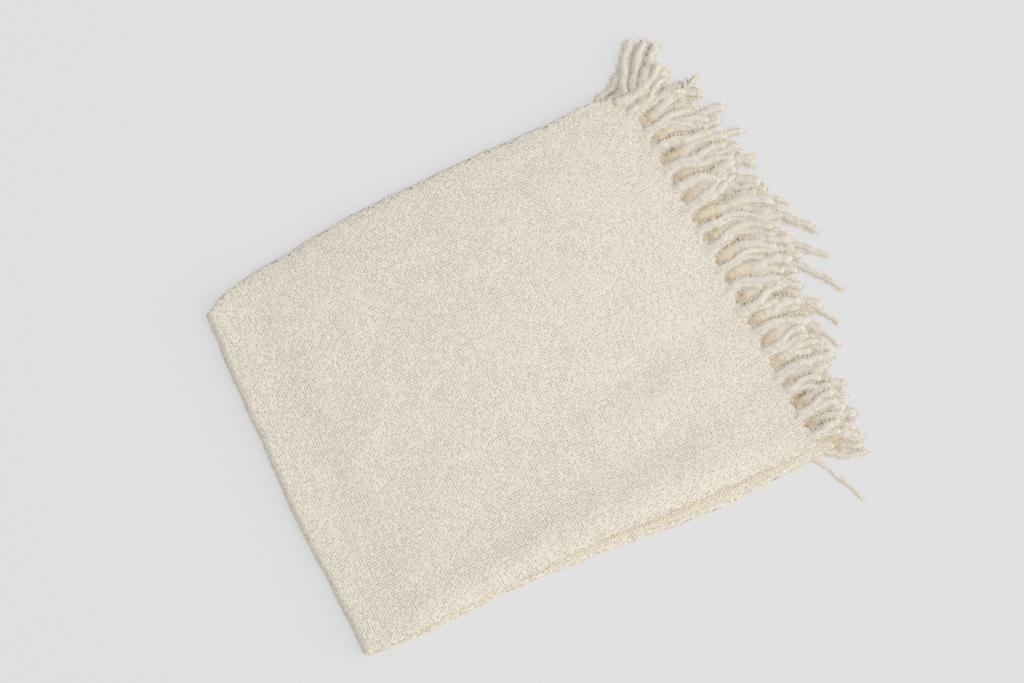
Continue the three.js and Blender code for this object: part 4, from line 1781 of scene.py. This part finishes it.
@dataclass
class Studio:
    """The pale lit floor, the soft light and the camera."""

    aim: Place = (0.041, 0.055, 0.012)
    distance: float = 3.77
    azimuth: float = -27.5
    elevation: float = 82.0
    lens: float = 85.0
    sight: float = 50.0
    floor_size: float = 14.0
    floor_drop: float = 0.0004
    floor_color: Shade = (0.2, 0.2, 0.2, 1.0)
    floor_rough: float = 0.9
    floor_gloss: float = 0.1
    glow_color: Shade = (1.0, 0.99, 1.0, 1.0)
    floor_glow: float = 0.56
    world_color: Shade = (1.0, 0.995, 1.0, 1.0)
    world_strength: float = 0.565
    key_place: Place = (2.9, -2.45, 2.6)
    key_spread: float = 70.0
    key_power: float = 2.0
    pool_place: Place = (0.95, -0.85, 3.0)
    pool_aim: Place = (0.2, -0.06, 0.0)
    pool_angle: float = 27.0
    pool_radius: float = 0.4
    pool_softness: float = 1.0
    pool_power: float = 30.0

    def floor(self) -> bpy.types.Object:
        """Makes the plain pale floor, lit softly from below so that it takes hardly any shadow.

        Returns:
            The floor.
        """
        bpy.ops.object.select_all(action="DESELECT")
        bpy.ops.mesh.primitive_plane_add(size=self.floor_size, location=(0, 0, -self.floor_drop))
        made = bpy.context.active_object
        made.name = "pale_floor"
        material = bpy.data.materials.new("pale_floor")
        material.use_nodes = True
        shader = material.node_tree.nodes["Principled BSDF"]
        values = {
            "Base Color": self.floor_color,
            "Roughness": self.floor_rough,
            "Specular IOR Level": self.floor_gloss,
            "Emission Color": self.glow_color,
            "Emission Strength": self.floor_glow,
        }
        for name, value in values.items():
            shader.inputs[name].default_value = value
        made.data.materials.append(material)
        return made

    def light(self) -> None:
        """Adds the broad soft light, and a faint soft pool of light towards the fringe."""
        key = bpy.data.lights.new("key_light", "SUN")
        key.angle = math.radians(self.key_spread)
        key.energy = self.key_power
        self.hang(key, self.key_place, self.aim)
        pool = bpy.data.lights.new("pool_light", "SPOT")
        pool.spot_size = math.radians(self.pool_angle)
        pool.spot_blend = self.pool_softness
        pool.shadow_soft_size = self.pool_radius
        pool.energy = self.pool_power
        self.hang(pool, self.pool_place, self.pool_aim)

    @staticmethod
    def hang(lamp: bpy.types.Light, place: Place, aim: Place) -> None:
        """Places a light and turns it to its aim.

        Args:
            lamp: The light.
            place: Where it hangs, in metres.
            aim: The point that it shines at.
        """
        made = bpy.data.objects.new(lamp.name, lamp)
        made.location = place
        ahead = Vector(aim) - Vector(place)
        made.rotation_euler = ahead.to_track_quat("-Z", "Y").to_euler()
        bpy.context.collection.objects.link(made)

    def camera(self) -> None:
        """Places the camera at the angle from which the throw is seen."""
        turn = math.radians(self.azimuth)
        tilt = math.radians(self.elevation)
        ahead = Vector((-math.sin(turn), math.cos(turn), 0.0))
        back = -ahead * math.cos(tilt) + Vector((0.0, 0.0, math.sin(tilt)))
        right = Vector((math.cos(turn), math.sin(turn), 0.0))
        up = back.cross(right)
        lens = bpy.data.cameras.new("front_camera")
        lens.lens = self.lens
        lens.clip_end = self.sight
        made = bpy.data.objects.new("front_camera", lens)
        place = Vector(self.aim) + back * self.distance
        axes = Matrix((right, up, back)).transposed().to_4x4()
        made.matrix_world = Matrix.Translation(place) @ axes
        bpy.context.collection.objects.link(made)
        bpy.context.scene.camera = made

    def build(self) -> None:
        """Sets up the whole studio."""
        self.floor()
        self.light()
        scene = bpy.context.scene
        world = bpy.data.worlds.new("soft_world")
        world.use_nodes = True
        sky = world.node_tree.nodes["Background"]
        sky.inputs["Color"].default_value = self.world_color
        sky.inputs["Strength"].default_value = self.world_strength
        scene.world = world
        scene.view_settings.view_transform = "Standard"
        self.camera()


def dress(
    made: bpy.types.Object, material: bpy.types.Material, nodes: tuple[str, ...] = ()
) -> None:
    """Gives a piece its material and body.

    Args:
        made: The piece.
        material: Its material.
        nodes: The solids that the piece stands for.
    """
    made.data.materials.clear()
    made.data.materials.append(material)
    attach(made, "root")
    if nodes:
        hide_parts(*nodes)
    made.data.calc_loop_triangles()
    LOG.info("%s: %d triangles", made.name, len(made.data.loop_triangles))


def main() -> None:
    """Builds the throw piece by piece, then the studio round it."""
    logging.basicConfig(level=logging.INFO, format="%(name)s %(message)s")
    shelf = EffectShelf()
    shape = FoldShape()
    # Each finish takes a crest, a body and a gap colour; the gap colour is painted shade, the warm
    # darker tone put in the hollows.
    ground = WoolFinish(
        "boucle_ground",
        (0.88, 0.835, 0.73, 1.0),
        (0.86, 0.795, 0.67, 1.0),
        (0.82, 0.70, 0.52, 1.0),
        woven=True,
        fibre_depth=0.0008,
    )
    boucle = WoolFinish(
        "boucle_yarn",
        (0.866, 0.832, 0.75, 1.0),
        (0.848, 0.794, 0.69, 1.0),
        (0.856, 0.733, 0.545, 1.0),
    )
    tassel = WoolFinish(
        "fringe_wool",
        (0.852, 0.812, 0.73, 1.0),
        (0.838, 0.787, 0.682, 1.0),
        (0.88, 0.748, 0.512, 1.0),
        fibre_scale=1200.0,
        fibre_depth=0.0006,
        sheen=0.6,
        sheen_tint=(1.0, 0.94, 0.82, 1.0),
    )
    ground_material = ground.make(shelf)
    boucle_material = boucle.make(shelf)
    tassel_material = tassel.make(shelf)

    cloth = ClothSheet(shape).build()
    dress(cloth, ground_material, ("folded_cloth",))
    lump = Lump.model()
    for made in BoucleFace(shape, lump).build():
        dress(made, boucle_material)
    ends = (
        Fringe(shape, "fringe_upper", End.UPPER, Layer.UPPER_OUTER, Layer.UPPER_INNER, 41),
        Fringe(shape, "fringe_lower", End.LOWER, Layer.LOWER_OUTER, Layer.LOWER_INNER, 43),
    )
    for end in ends:
        locks, fibres = end.build()
        dress(locks, tassel_material, (end.name,))
        dress(fibres, tassel_material)
        fibres.visible_shadow = False
    Studio().build()


if __name__ == "__main__":
    main()
